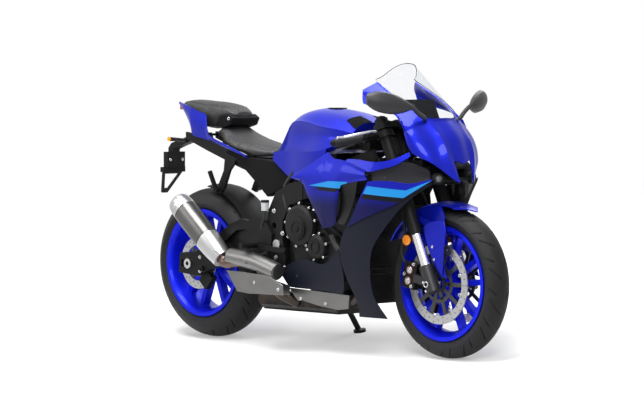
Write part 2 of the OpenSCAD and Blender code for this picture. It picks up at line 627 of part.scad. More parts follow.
// Edges of the side panels in side view, from the tail to the nose
upper_low = [[697, 700], [771, 684], [800, 636], [850, 566], [886, 512], [894, 503], [908, 506],
             [975, 528], [1004, 664], [1059, 690], [1172, 706]];
upper_high = [[700, 706], [753, 732], [814, 760], [870, 790], [898, 806], [911, 810], [924, 804],
              [957, 786], [1010, 782], [1060, 772], [1158, 742]];
rim_low = [[1030, 768], [1100, 750], [1172, 738], [1222, 748], [1290, 764], [1340, 802]];
rim_high = [[1036, 786], [1110, 785], [1175, 778], [1225, 779], [1280, 790], [1330, 818]];
stripe_low = [[1045, 512], [1130, 546], [1215, 578], [1300, 612], [1428, 702]];
stripe_high = [[1174, 700], [1235, 704], [1296, 702], [1360, 695], [1432, 714]];
duct_low = [[970, 534], [998, 524], [1026, 524]];
duct_high = [[1000, 678], [1055, 698], [1112, 702]];
recess_low = [[1184, 692], [1270, 694], [1350, 684], [1410, 698]];
recess_high = [[1166, 754], [1222, 762], [1330, 780], [1412, 742]];
belly_low = [[642, 252], [760, 249], [880, 247], [986, 245], [998, 331]];
belly_high = [[592, 315], [668, 352], [758, 372], [880, 356], [976, 424]];
limb_front = [[1426, 692], [1346, 630], [1246, 518], [1190, 450], [1168, 400], [1160, 328], [1168, 240],
              [1216, 154]];
limb_back = [[1420, 706], [1300, 622], [1180, 574], [1046, 522], [986, 430], [1004, 336], [1066, 216],
             [1062, 154]];

module side_fairings() color(body_blue) both_sides() {
    panel(side_panel(upper_low, upper_high, 3, 8, 0, 6), panel_t);
    panel(side_panel(stripe_low, stripe_high, 3, 6), panel_t);
    panel(side_panel(rim_low, rim_high, 3, 2, -tuck), panel_t);
}
module lower_fairings() color(navy) both_sides() {
    panel(side_panel(reversed(limb_front), reversed(limb_back), 4, 4, -tuck), panel_t);
    panel(side_panel(belly_low, belly_high, 4, 5, -tuck), panel_t);
}
module side_ducts() color([0.09, 0.09, 0.1]) both_sides() {
    panel(side_panel(duct_low, duct_high, 3, 6, -panel_t - 2 * seam, -16), panel_t);
    panel(side_panel(recess_low, recess_high, 3, 4, -2 * tuck, -10), panel_t);
}

// Nose: lines from its lower edge up to the screen's foot. columns run from the middle to the side
nose_low = [[1481, 0, 771], [1468, -46, 784], [1498, -38, 697], [1458, -88, 741], [1424, -140, 784],
            [1366, -177, 812], [1324, -176, 882], [1306, -172, 936], [1250, -168, 968], [1150, -164, 990],
            [1072, -158, 1006]];
nose_cheek = [[1467, 0, 822], [1456, -46, 820], [1466, -73, 803], [1440, -102, 808], [1410, -146, 828],
              [1364, -176, 850], [1318, -174, 905], [1292, -170, 950], [1236, -166, 984], [1146, -162, 1004],
              [1064, -155, 1022]];
nose_brow = [[1440, 0, 885], [1428, -46, 881], [1429, -78, 878], [1402, -104, 874], [1374, -140, 890],
             [1336, -164, 908], [1286, -162, 950], [1236, -156, 985], [1180, -151, 1015], [1124, -146, 1040],
             [1060, -151, 1043]];
nose_top = [[1377, 0, 952], [1368, -45, 950], [1347, -82, 957], [1305, -106, 985], [1262, -112, 1009],
            [1224, -114, 1030], [1190, -113, 1047], [1160, -111, 1062], [1130, -109, 1077],
            [1100, -107, 1092],
            [1057, -147, 1061]];
nose_lines = [nose_low, nose_cheek, nose_brow, nose_top];
nose_grid = fine([for (line = nose_lines) whole_row(line)], 2, 3);
module nose_cowl() color(body_blue) panel(nose_grid, panel_t);

// Screen: laps the nose's upper line between the two ears and rises to an arched rim
screen_rim = [[1165, 0, screen_top_z], [1164, -22, screen_top_z - 2], [1161, -40, screen_top_z - 6],
              [1155, -54, screen_top_z - 12], [1147, -66, screen_top_z - 20], [1137, -78, screen_top_z - 31],
              [1126, -88, screen_top_z - 43], [1115, -97, screen_top_z - 53], [1104, -104, screen_top_z - 60],
              [1092, -109, screen_top_z - 64]];
ear = 2;
nose_edge = len(nose_grid) - 1;
lap = 0.3;
function screen_side(p) = min(abs(p[1]) / 107, 1);
screen_foot = [for (j = [ear : len(nose_grid[0]) - 1 - ear]) let (p = nose_grid[nose_edge][j])
    p * (1 - lap) + nose_grid[nose_edge - 1][j] * lap
    + normal_at(nose_grid, nose_edge, j) * (screen_t + (3 + 4 * screen_side(p)) * seam)];
screen_head = through(whole_row(screen_rim), 2);
screen_waist = [for (j = [0 : len(screen_foot) - 1])
    (screen_foot[j] + screen_head[j]) / 2 + [12, 0, 12] * (1 - screen_side(screen_foot[j]))];
screen_grid = transpose([for (c = transpose([screen_foot, screen_waist, screen_head])) through(c, 4)]);
module windscreen() color([0.8, 0.85, 0.9, 0.35]) panel(screen_grid, screen_t);

// Air intake between the blades of the nose, and a beam that carries the two lamps
lamp_r = 19;
lamp_p = [1418, -92, 714];
lamp_depth = 20;
lamp_wall = 4;
module nose_intake() color([0.05, 0.05, 0.055]) difference() {
    union() {
        side_plate([[1340, 704], [1466, 706], [1462, 762], [1400, 780], [1340, 780]], -34, 34);
        translate([lamp_p[0] - 20, lamp_p[1], 702]) cube([26, -2 * lamp_p[1], 18]);
        both_sides() at_lamp() cylinder(r = lamp_r + lamp_wall, h = lamp_depth);
    }
    side_plate([[1410, 718], [1470, 718], [1470, 752], [1410, 756]], -26, 26);
    both_sides() at_lamp() translate([0, 0, lamp_wall]) cylinder(r = lamp_r + seam, h = lamp_depth);
}
module at_lamp() translate(lamp_p) rotate([0, 90, -20]) children();
module headlights() color([0.8, 0.85, 0.9]) both_sides() at_lamp()
    translate([0, 0, lamp_wall + seam]) cylinder(r = lamp_r, h = lamp_depth - lamp_wall);
dash_x = 1250;
module dash() color(black) {
    translate([dash_x, -78, 930]) rotate([0, -24, 0]) cube([22, 156, 92]);
    // stay from the steering head to the dash, the lamps and the nose
    steer() translate([head_r + seam, -26, 852]) cube([150, 52, 22]);
    translate([1290, -30, 800]) cube([30, 60, 150]);
    translate([dash_x - 8, -20, 944]) cube([68, 40, 12]);
    translate([1300, -20, 780 + seam]) cube([60, 40, 30]);
    nose_peg();
}
// Peg from the stay to the middle of the nose
module nose_peg() {
    i = 4;
    j = (len(nose_grid[0]) - 1) / 2;
    n = normal_at(nose_grid, i, j);
    translate(nose_grid[i][j] - (panel_t + 3 * seam) * n) rotate([0, atan2(n[0], n[2]) + 180, 0])
        cylinder(r = 5, h = 150);
}
// Mirror housing along a swept line. columns: share of the line, half height, half depth
mirror_in = [1352, -160, 994];
mirror_out = [1269, -mirror_tip, mirror_z];
mirror_sections = [[0, 9, 8], [0.12, 22, 17], [0.34, 40, 30], [0.62, 45, 33], [0.86, 39, 28], [1, 20, 13]];
mirror_back = 0.4;
stem_from = [8, 15];
stem_tube_r = 9;
stem_gap = 3.4;
function mirror_ring(s) = let (run = unit(mirror_out - mirror_in), ahead = unit(cross(run, [0, 0, 1])) * -1)
    [for (a = [0 : 30 : 330]) mirror_in + (mirror_out - mirror_in) * s[0] + [0, 0, 1] * s[1] * sin(a)
        + ahead * s[2] * cos(a) * (cos(a) < 0 ? mirror_back : 1)];
module mirrors() color(black) both_sides() {
    base = nose_grid[stem_from[0]][stem_from[1]];
    n = normal_at(nose_grid, stem_from[0], stem_from[1]);
    union() {
        loft([for (s = mirror_sections) mirror_ring(s)]);
        tube(through([base + stem_gap * n, base + 14 * n, [1352, -128, 970], mirror_in,
            mirror_in * 0.85 + mirror_out * 0.15], 3), stem_tube_r, 10, [0, 0, 1]);
    }
}
// Tank, seats and tail. Half sections run from the top centre down the right side
// columns: x, crown z, shoulder y, shoulder z, knee y, knee z, foot y, foot z
tank_table = [
    [446, 812, 44, 804, 56, 794, 60, 782],
    [520, 892, 74, 868, 84, 830, 92, 786],
    [600, 958, 106, 924, 104, 862, 114, 782],
    [700, tank_top_z, 136, 930, 122, 868, 142, 782],
    [820, tank_top_z - 6, 158, 914, 148, 870, 166, 790],
    [920, tank_top_z - 27, 160, 902, 156, 866, 158, 824],
    [1000, tank_top_z - 54, 146, 890, 138, 868, 124, 850]];
// Bend of the shoulder: how far in and how far up and down it spreads
crease = [7, 4];
function tank_half(s) = through([[s[0], 0, s[1]], [s[0], -s[2] * 0.6, s[1] - (s[1] - s[3]) * 0.24],
    [s[0], crease[0] - s[2], s[3] + crease[1]], [s[0], -s[2], s[3] - crease[1]], [s[0], -s[4], s[5]],
    [s[0], -s[6], s[7]], [s[0], 0, s[7] - 4]], 3);
module fuel_tank() color(body_blue) difference() {
    loft(transpose([for (c = transpose([for (s = tank_table) ring(tank_half(s))])) through(c, 3)]));
    translate(cap_p) cylinder(r = cap_r + 8, h = 60);
    translate([500, -200, tank_floor - 100]) cube([600, 400, 100]);
}
cap_r = 36;
cap_p = [760, 0, tank_top_z - 12];
module fuel_cap() color([0.1, 0.1, 0.11]) translate(cap_p + [0, 0, 0.3]) {
    cylinder(r = cap_r, h = 12);
    translate([cap_r - 6, -9, 0]) cube([10, 18, 10]);
}
cover_low = [[494, 768], [560, 728], [628, 696], [668, 704], [760, 744], [872, 796]];
cover_high = [[500, 800], [580, 806], [660, 806], [740, 806], [820, 812], [880, 824]];
cover_y = [[490, 112], [600, 128], [700, 152], [800, 170], [880, 172]];
cover_out = 8;
module tank_covers() color(body_blue) both_sides() panel([for (i = [0 : 4]) let (
    a = through(cover_low, 3), b = through(cover_high, 3), t = i / 4) [for (j = [0 : len(a) - 1])
    let (p = a[j] * (1 - t) + b[j] * t) [p[0], -read(cover_y, p[0]) - cover_out, p[1]]]], panel_t);

// columns: x, crown z, half width, edge z, base z
seat_table = [[440, 816, 58, 800, 776], [396, 822, 88, 802, 770], [330, 836, 110, 812, 774],
              [250, 852, 122, 828, 794], [190, 876, 116, 848, 814], [152, 902, 100, 866, 832],
              [126, 908, 88, 880, 850], [96, 900, 78, 878, 856]];
pillion_table = [[188, 962, 50, 950, 936], [150, 988, 66, 968, 930], [104, 996, 76, 974, 914],
                 [60, 1000, 84, 976, 888], [-20, 1004, 88, 982, 902], [-100, 1009, 72, 992, 932],
                 [-170, 1006, 40, 996, 965]];
function pad_half(s) = through([[s[0], 0, s[1]], [s[0], -s[2] * 0.62, s[1] - (s[1] - s[3]) * 0.2],
    [s[0], -s[2], s[3]], [s[0], -s[2] * 0.92, s[4] + 6], [s[0], 0, s[4]]], 2);
module pad(table) loft(transpose([for (c = transpose([for (s = reversed(table)) ring(pad_half(s))]))
    through(c, 2)]));
module seat() color([0.06, 0.06, 0.06]) pad(seat_table);
module pillion_seat() color([0.06, 0.06, 0.06]) pad(pillion_table);
// Tail side panels. rows: x, lower z, lower y, upper z, upper y
tail_table = [[-170, 988, 50, 1003, 58], [-110, 946, 74, 994, 86], [-62, 900, 90, 984, 98],
              [-40, 862, 98, 978, 103], [20, 850, 101, 960, 108], [64, 842, 102, 944, 110],
              [86, 838, 104, 868, 118], [200, 808, 118, 832, 134], [334, 768, 112, 786, 130]];
tail_peg = [40, 864, 104];
module tail_cowl() color(body_blue) both_sides() panel(fine([
    [for (s = tail_table) [s[0], -s[2], s[1]]],
    [for (s = tail_table) [s[0], -(s[2] + s[4]) / 2 - 8, (s[1] + s[3]) / 2]],
    [for (s = tail_table) [s[0], -s[4], s[3]]]], 3, 3), panel_t);
module tail_light() color([0.4, 0.02, 0.02]) translate([-170 - seam - 20, -38, 968]) cube([20, 76, 26]);
// Bracket behind the tail: arm, holder and a foot that narrows downwards
holder = [-286, 100, 68];
holder_z = 716;
foot_tilt = 31;
foot_long = 114;
module plate_bracket() color(black) {
    side_plate([[-89 - seam, 846], [-89 - seam, 872], [-200, 842], [-270, 822], [-290, 800], [-290, 770],
                [-262, 770], [-258, 796], [-210, 812]], -20, 20);
    translate([holder[0], -holder[1] / 2, holder_z]) cube([26, holder[1], holder[2]]);
    translate([holder[0] - 8, -holder[1] / 2 - 12, holder_z - 20]) cube([22, holder[1] + 24, 22]);
    translate([holder[0], 0, holder_z - 10]) rotate([0, foot_tilt, 0]) rotate([90, 0, 90]) linear_extrude(8)
        difference() {
            polygon([[-58, 0], [58, 0], [16, -foot_long], [-16, -foot_long]]);
            polygon([[-40, -16], [40, -16], [10, -foot_long + 20], [-10, -foot_long + 20]]);
        }
}
module rear_indicators() color([0.75, 0.35, 0.02]) both_sides() hull() {
    translate([-170, -20 - seam, 836]) rotate([90, 0, 0]) cylinder(r = 7, h = 10, $fn = 20);
    translate([-178, -100, 842]) rotate([90, 0, 0]) cylinder(r = 9, h = 14, $fn = 20);
}

// Foot controls

module rearset(side) {
    inner = side * (frame_out + seam);
    color(black) side_plate(
        [[430, 412], [470, 378], [540, 404], [548, 464], [506, 520], [470, 506], [446, 460]],
                            inner, side * 176);
    color(black) pin_y([peg_x, 0, peg_z], 13, side * 175, side * peg_tip);
    color(black) side_plate([[446, 460], [396, 496], [402, 540], [470, 506]], inner, side * 168);
}
// columns: the side it is on, height of the pedal's tip
pedals = [[-1, 398], [1, 404]];
module rearsets() for (p = pedals) {
    rearset(p[0]);
    color(black) side_plate(
        [[peg_x + 14, 400], [620, p[1] - 8], [640, p[1]], [636, p[1] + 12], [peg_x + 14, 420]],
                            p[0] * 175, p[0] * 186);
}
// Passenger footrests, folded up on their hangers
hanger = [[180, 792], [256, 768], [206, 716], [172, 640], [150, 618], [122, 628], [134, 652], [170, 716]];
hanger_foot = [140, -105, 636];
module passenger_pegs() color(black) both_sides() {
    side_plate(hanger, -92 - seam, -106);
    pin_y(hanger_foot, 12, hanger_foot[1], hanger_foot[1] - 24);
    translate(hanger_foot + [0, -18, 0]) rotate([24, 0, 0]) cylinder(r = 10, h = 84);
}
// Front end, turned by the steering

clamp_low = 790;
clamp_high = 972;
clamp_t = 34;
fork_top = 1020;
slider_top = 560;
tube_end = 524;
leg = [fork_offset, -fork_gap / 2];
module leg_at() translate([leg[0], leg[1], 0]) children();

module fork_tubes() color([0.09, 0.09, 0.095]) steer() both_sides() leg_at() difference() {
    translate([0, 0, tube_end]) cylinder(r = fork_tube_d / 2, h = fork_top - tube_end);
    translate([0, 0, tube_end - 1]) cylinder(r = fork_slider_d / 2 + fit, h = slider_top - tube_end + 120);
}
module fork_sliders() {
    steer() both_sides() leg_at() color([0.75, 0.75, 0.77])
        translate([0, 0, axle_up + 60]) cylinder(r = fork_slider_d / 2, h = slider_top + 50 - axle_up);
    color(black) difference() {
        union() {
            steer() both_sides() leg_at() translate([0, 0, axle_up - 34]) cylinder(r = 29, h = 110);
            both_sides() at_caliper() translate([20, -fork_gap / 2 - 8, -16])
                cube([caliper_in - seam - 20, 26, 32]);
        }
        pin_y(front_axle_p, front_axle_r + fit, -200, 200);
    }
}
caliper_in = 98;
module at_caliper() translate(front_axle_p) rotate([0, -168, 0]) children();
module front_axle() color(steel) translate(front_axle_p) difference() {
    union() {
        pin_y([0, 0, 0], front_axle_r, -fork_gap / 2 - 34, fork_gap / 2 + 34);
        both_sides() pin_y([0, 0, 0], 17, -front_hub_half - disc_t - 0.6, -fork_gap / 2 + 29 + seam);
    }
    pin_y([0, 0, 0], 8, -200, 200);
}
module clamp_plate(h) linear_extrude(h) difference() {
    hull() {
        for (s = [-1, 1]) translate([leg[0], s * leg[1]]) circle(r = fork_tube_d / 2 + 11);
        circle(r = 36);
    }
    for (s = [-1, 1]) translate([leg[0], s * leg[1]]) circle(r = fork_tube_d / 2 + fit);
}
module triple_clamps() color([0.11, 0.11, 0.115]) steer() difference() {
    union() {
        translate([0, 0, clamp_low]) clamp_plate(clamp_t);
        translate([0, 0, clamp_high]) clamp_plate(26);
        translate([0, 0, clamp_low]) cylinder(r = stem_r, h = clamp_high - clamp_low + 30);
    }
    translate([0, 0, clamp_low - 1]) cylinder(r = 9, h = 60);
}
bar_z = 954;
bar_r = 11;
module along_bar()
    steer() both_sides() leg_at() translate([0, 0, bar_z]) rotate([90, 0, -bar_sweep]) children();
module handlebars() color(black) {
    along_bar() translate([0, 0, fork_tube_d / 2]) difference() {
        cylinder(r = bar_r, h = bar_length - fork_tube_d / 2);
        translate([0, 0, bar_length - 80]) cylinder(r = 7, h = 80);
    }
    steer() both_sides() leg_at() translate([0, 0, bar_z - 15]) difference() {
        cylinder(r = fork_tube_d / 2 + 9, h = 26);
        translate([0, 0, -1]) cylinder(r = fork_tube_d / 2 + fit, h = 28);
    }
}
module grips() color([0.05, 0.05, 0.05]) along_bar() translate([0, 0, bar_length - 132]) difference() {
    cylinder(r = 16.5, h = 122);
    translate([0, 0, -1]) cylinder(r = bar_r + fit, h = 130);
}
// Lever along the bar, out from its housing to the tip
lever_path = [[58.6, 0, 66], [66, 0, 100], [66, 0, 140], [60, 0, 180], [56, 0, 214], [60, 0, 238]];
module levers() along_bar() {
    color(black) difference() {
        translate([-18, -16, 62]) cube([36, 32, 34]);
        translate([0, 0, 60]) cylinder(r = bar_r + fit, h = 40);
    }
    color(black) translate([18.3, -12, 52]) cube([34, 24, 52]);
    color(steel) tube(through(lever_path, 3), 6, 10);
}
// Crown over the tyre, first angle and sweep about the axle, with its front drawn to a point
fender_from = 63;
fender_sweep = 86;
fender_tip = [1556, 46];
// Side flaps, and the guards ahead of the fork legs, in side view
flap = [[1262, 573], [1330, 600], [1420, 609], [1446, 560], [1410, 484], [1330, 474]];
guard = [[1354, 500], [1362, 522], [1443, 526], [1444, 401], [1476, 324], [1440, 330], [1398, 420]];
flap_in = 66;
guard_out = 92;
fender_stay = [[1306, 548], [1312, 562], [1420, 532], [1437, 500], [1372, 512]];
module front_fender() color(body_blue) {
    difference() {
        translate(front_axle_p) across() rotate(fender_from) rotate_extrude(angle = fender_sweep) polygon([
            [front_r + 8, -67], [front_r + 12, -71], [front_r + 22, -36], [front_r + 25, 0],
            [front_r + 22, 36], [front_r + 12, 71], [front_r + 8, 67], [front_r + 18, 36],
            [front_r + 21, 0], [front_r + 18, -36]]);
        both_sides() translate([fender_tip[0], 0, front_r]) rotate(180 + fender_tip[1])
            cube([140, 80, 2 * front_r]);
    }
    both_sides() side_plate(flap, -flap_in, -flap_in - panel_t);
    both_sides() side_plate(guard, -guard_out + panel_t, -guard_out);
    difference() {
        both_sides() side_plate(fender_stay, -flap_in - 1, -guard_out + 1);
        steer() both_sides() leg_at() cylinder(r = fork_tube_d / 2 + seam, h = fork_top);
    }
}
module front_calipers() color(black) both_sides() difference() {
    at_caliper() translate([caliper_in, -fork_gap / 2 + 4, -52]) cube([72, 52, 104]);
    translate(front_axle_p + [0, -front_disc_y + run, 0]) across()
        cylinder(r = front_disc_d / 2 + run, h = disc_t + 2 * run);
}
module reflectors() color([0.95, 0.45, 0.02]) steer() both_sides()
    translate([leg[0] - 44, leg[1] - 12, slider_top - 40]) rotate([90, 0, 0]) cylinder(r = 20, h = 8);
// Side stand: pivots under the left frame plate, foot on the ground.
// Its own frame has Z along the pivot and X down the leg; it folds towards Y.
stand_pivot = [572, 150, 262];
stand_foot = [632, stand_reach * cos(lean) + crown_lift * sin(lean),
    stand_reach * sin(lean) - crown_lift * cos(lean)];
stand_down = unit(stand_foot - stand_pivot);
stand_folded = unit([-0.965, 0.24, -0.1]);
stand_axis = unit(cross(stand_down, stand_folded));
stand_eye = 28;
stand_turn = [0, acos(stand_axis[2]), atan2(stand_axis[1], stand_axis[0])];
stand_x0 = [cos(stand_turn[2]) * cos(stand_turn[1]), sin(stand_turn[2]) * cos(stand_turn[1]),
    -sin(stand_turn[1])];
stand_y0 = [-sin(stand_turn[2]), cos(stand_turn[2]), 0];
module at_stand() translate(stand_pivot) rotate(stand_turn)
    rotate(atan2(stand_down * stand_y0, stand_down * stand_x0)) children();
module side_stand() color(black) {
    at_stand() difference() {
        union() {
            cylinder(r = 15, h = stand_eye, center = true);
            rotate([0, 90, 0]) cylinder(r = stand_leg_d / 2, h = norm(stand_foot - stand_pivot) - 14);
        }
        cylinder(r = 6 + fit, h = stand_eye + 2, center = true);
    }
    translate(stand_foot) rotate([lean, 0, 0]) cylinder(r = 26, h = 12);
}

parked() frame();
parked() subframe();
parked() engine();
parked() engine_covers();
parked() radiator();
parked() exhaust_pipes();
parked() exhaust_shields();
parked() muffler();
parked() swingarm();
parked() rear_axle();
parked() rear_shock();
parked() chain();
parked() rear_caliper();
parked() rear_hugger();
parked() nose_cowl();
parked() windscreen();
parked() headlights();
parked() nose_intake();
parked() dash();
parked() side_fairings();
parked() side_ducts();
parked() lower_fairings();
parked() mirrors();
parked() fuel_tank();
parked() tank_covers();
parked() seat();
parked() pillion_seat();
parked() tail_cowl();
parked() tail_light();
parked() plate_bracket();
parked() rear_indicators();
parked() rearsets();
parked() passenger_pegs();
parked() fork_tubes();
parked() fork_sliders();
parked() triple_clamps();
parked() handlebars();
parked() grips();
parked() levers();
parked() front_fender();
parked() front_calipers();
parked() front_axle();
parked() reflectors();
parked() front_rim();
parked() front_tyre();
parked() front_discs();
parked() rear_rim();
parked() rear_tyre();
parked() rear_disc();
parked() rear_sprocket();
parked() side_stand();
parked() fuel_cap();
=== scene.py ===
"""Looks of a full-fairing sport motorcycle that stands parked on its side stand.

Every length is in millimetres of the upright machine, with X forward, Y to the rider's left and Z up from
the ground under the rear axle, until Machine.park() leans the finished mesh onto the stand in metres.
"""

import json
import logging
import math
from dataclasses import dataclass
from enum import Enum
from functools import lru_cache
from typing import Any, Optional, Sequence, Union

import bmesh
import bpy
from mathutils import Matrix, Vector
from mathutils.bvhtree import BVHTree

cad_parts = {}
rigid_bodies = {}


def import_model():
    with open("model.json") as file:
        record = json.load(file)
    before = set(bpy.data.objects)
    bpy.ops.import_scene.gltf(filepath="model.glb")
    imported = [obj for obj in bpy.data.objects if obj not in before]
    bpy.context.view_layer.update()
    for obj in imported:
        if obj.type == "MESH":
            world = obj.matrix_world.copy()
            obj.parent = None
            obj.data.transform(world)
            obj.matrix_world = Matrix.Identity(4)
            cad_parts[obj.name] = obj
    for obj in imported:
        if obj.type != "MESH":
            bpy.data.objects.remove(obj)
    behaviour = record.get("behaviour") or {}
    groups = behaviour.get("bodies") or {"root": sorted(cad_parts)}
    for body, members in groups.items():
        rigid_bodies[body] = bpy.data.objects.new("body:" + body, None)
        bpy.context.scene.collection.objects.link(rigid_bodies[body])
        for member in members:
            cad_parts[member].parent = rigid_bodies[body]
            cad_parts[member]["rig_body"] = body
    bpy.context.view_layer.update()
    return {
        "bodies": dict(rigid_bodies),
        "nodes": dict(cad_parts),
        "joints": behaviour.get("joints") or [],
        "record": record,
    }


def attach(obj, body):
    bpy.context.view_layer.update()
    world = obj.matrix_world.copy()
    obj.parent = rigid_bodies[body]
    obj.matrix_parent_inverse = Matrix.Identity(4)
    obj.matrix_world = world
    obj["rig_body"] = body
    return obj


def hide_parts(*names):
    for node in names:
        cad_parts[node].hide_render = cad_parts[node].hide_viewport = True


log = logging.getLogger("sport_machine")
MM = 0.001
Colour = tuple[float, float, float]
Point = tuple[float, float, float]
Slant = tuple[float, float, float]


@dataclass(frozen=True)
class Machine:
    """Place of the upright machine in the row frame, and the places that several pieces share."""

    lean: float = 10.0
    origin: Point = (673.0, 156.714, -1.177)
    rake: float = 24.0
    steer_x: float = 1507.0
    front_axle: Point = (1405.0, 0.0, 299.0)
    rear_axle: Point = (0.0, 0.0, 318.0)
    outlet: Point = (2.0, -214.0, 584.0)
    outlet_run: Point = (0.7745, 0.0, -0.6326)

    def park(self) -> Matrix:
        """Matrix from the upright machine in millimetres to the row frame in metres."""
        turn = Matrix.Rotation(-math.radians(self.lean), 4, "X")
        return Matrix.Scale(MM, 4) @ Matrix.Translation(-Vector(self.origin)) @ turn

    def steering(self) -> Matrix:
        """Matrix from the steering axis, which points up, to the upright machine."""
        return Matrix.Translation((self.steer_x, 0, 0)) @ Matrix.Rotation(-math.radians(self.rake), 4, "Y")


MACHINE = Machine()


class Sock:
    """A shader socket that takes part in Python expressions."""

    def __init__(self, graph: "Graph", socket: bpy.types.NodeSocket) -> None:
        """Wrap one output socket of a graph."""
        self.graph = graph
        self.socket = socket

    def math(self, operation: str, *others: "Value") -> "Sock":
        """Add a Math node on this value and the others."""
        return self.graph.node("ShaderNodeMath", {"operation": operation}, dict(enumerate((self, *others))))

    def __add__(self, other: "Value") -> "Sock":
        """Sum of two values."""
        return self.math("ADD", other)

    def __sub__(self, other: "Value") -> "Sock":
        """Difference of two values."""
        return self.math("SUBTRACT", other)

    def __rsub__(self, other: float) -> "Sock":
        """A number less this value."""
        return self.graph.node("ShaderNodeMath", {"operation": "SUBTRACT"}, {0: other, 1: self})

    def __mul__(self, other: "Value") -> "Sock":
        """Product of two values."""
        return self.math("MULTIPLY", other)

    def __truediv__(self, other: "Value") -> "Sock":
        """Quotient of two values."""
        return self.math("DIVIDE", other)

    __radd__ = __add__
    __rmul__ = __mul__

    def over(self, low: float, high: float) -> "Sock":
        """Smooth step from 0 at low to 1 at high, which may lie below low."""
        return self.graph.node("ShaderNodeMapRange", {"interpolation_type": "SMOOTHSTEP"},
                               {"Value": self, "From Min": low, "From Max": high})


Value = Union[Sock, float]


class Graph:
    """Node tree of one material or world, with one method that makes every node."""

    def __init__(self, owner: Union[bpy.types.Material, bpy.types.World]) -> None:
        """Empty the node tree of a new material or world."""
        owner.use_nodes = True
        self.owner = owner
        self.tree = owner.node_tree
        self.tree.nodes.clear()

    def node(self, kind: str, settings: dict[str, Any], inputs: dict[Any, Any], output: Any = 0) -> Sock:
        """Add a node, set its options first, then its sockets.

        Args:
            kind: type name of the node.
            settings: attributes of the node; "stops" fills a colour ramp.
            inputs: sockets by name or number, each a value or a Sock.
            output: name or number of the output that is returned.

        Returns:
            The chosen output, wrapped.
        """
        made = self.tree.nodes.new(kind)
        for key, value in settings.items():
            if key == "stops":
                ramp = made.color_ramp
                while len(ramp.elements) < len(value):
                    ramp.elements.new(1.0)
                for element, (place, colour) in zip(ramp.elements, value):
                    element.position = place
                    element.color = (*colour, 1.0)
            else:
                setattr(made, key, value)
        for key, value in inputs.items():
            if isinstance(value, Sock):
                self.tree.links.new(value.socket, made.inputs[key])
            else:
                made.inputs[key].default_value = value
        return Sock(self, made.outputs[output]) if len(made.outputs) else Sock(self, None)

    def mix(self, factor: Value, first: Any, second: Any) -> Sock:
        """Blend two colours."""
        ends = [value if isinstance(value, Sock) else (*value, 1.0) for value in (first, second)]
        return self.node("ShaderNodeMix", {"data_type": "RGBA"}, {0: factor, 6: ends[0], 7: ends[1]}, 2)

    def place(self, scale: Point = (1.0, 1.0, 1.0)) -> Sock:
        """Position on the upright machine in metres, stretched by a scale."""
        turn = Matrix.Rotation(math.radians(MACHINE.lean), 4, "X")
        shift = turn @ (Vector(MACHINE.origin) * MM)
        where = self.node("ShaderNodeTexCoord", {}, {}, "Object")
        upright = self.node("ShaderNodeMapping", {}, {
            "Vector": where, "Location": shift, "Rotation": (math.radians(MACHINE.lean), 0, 0)})
        if tuple(scale) == (1.0, 1.0, 1.0):
            return upright
        return self.node("ShaderNodeVectorMath", {"operation": "MULTIPLY"}, {0: upright, 1: scale})

    def axes(self, vector: Sock) -> tuple[Sock, Sock, Sock]:
        """The three parts of a vector."""
        split = self.node("ShaderNodeSeparateXYZ", {}, {0: vector})
        return tuple(Sock(self, out) for out in split.socket.node.outputs)

    def spot(self) -> tuple[Sock, Sock, Sock]:
        """Position on the upright machine in millimetres, in three parts."""
        return tuple(part * (1 / MM) for part in self.axes(self.place()))

    def noise(self, vector: Sock, scale: float, detail: float = 2.0) -> Sock:
        """Soft noise between 0 and 1."""
        return self.node("ShaderNodeTexNoise", {}, {"Vector": vector, "Scale": scale, "Detail": detail})

    def cells(self, vector: Sock, scale: float) -> Sock:
        """Distance to the nearest of scattered points."""
        return self.node("ShaderNodeTexVoronoi", {}, {"Vector": vector, "Scale": scale})

    def radius(self, centre: Point) -> Sock:
        """Distance in millimetres from an axle, in side view."""
        x, _, z = self.spot()
        dx, dz = x - centre[0], z - centre[2]
        return (dx * dx + dz * dz).math("SQRT")

    def outward(self) -> Sock:
        """Share of the surface normal that points away from the machine's middle plane, from -1 to 1."""
        lean = math.radians(MACHINE.lean)
        normal = self.node("ShaderNodeTexCoord", {}, {}, "Normal")
        side = self.node("ShaderNodeVectorMath", {"operation": "DOT_PRODUCT"},
                         {0: normal, 1: (0.0, math.cos(lean), -math.sin(lean))}, "Value")
        return side * self.axes(self.place())[1].math("SIGN")

    def surface(self, shader: Sock) -> bpy.types.Material:
        """Join a shader to the output and return the finished material."""
        self.node("ShaderNodeOutputMaterial", {}, {"Surface": shader})
        return self.owner


def ahead_of(x: Sock, z: Sock, line: Slant) -> Sock:
    """How far a place lies ahead of a slanted line in side view, given by x, z and its lean in x per z."""
    return x - line[0] - (z - line[1]) * line[2]


def height_of(x: Sock, line: Slant) -> Sock:
    """Height of a sloping line in side view, given by x, z and its rise in z per x."""
    return (x - line[0]) * line[2] + line[1]


class Grain(Enum):
    """Fine relief of a surface: noise stretch along X, Y, Z and its size per metre."""

    PEEL = (1, 1, 1, 260)
    CAST = (1, 1, 1, 700)
    MOULDED = (1, 1, 1, 1500)
    BRUSHED_X = (0.04, 1, 1, 1800)
    HIDE = (1, 1, 1, 900)


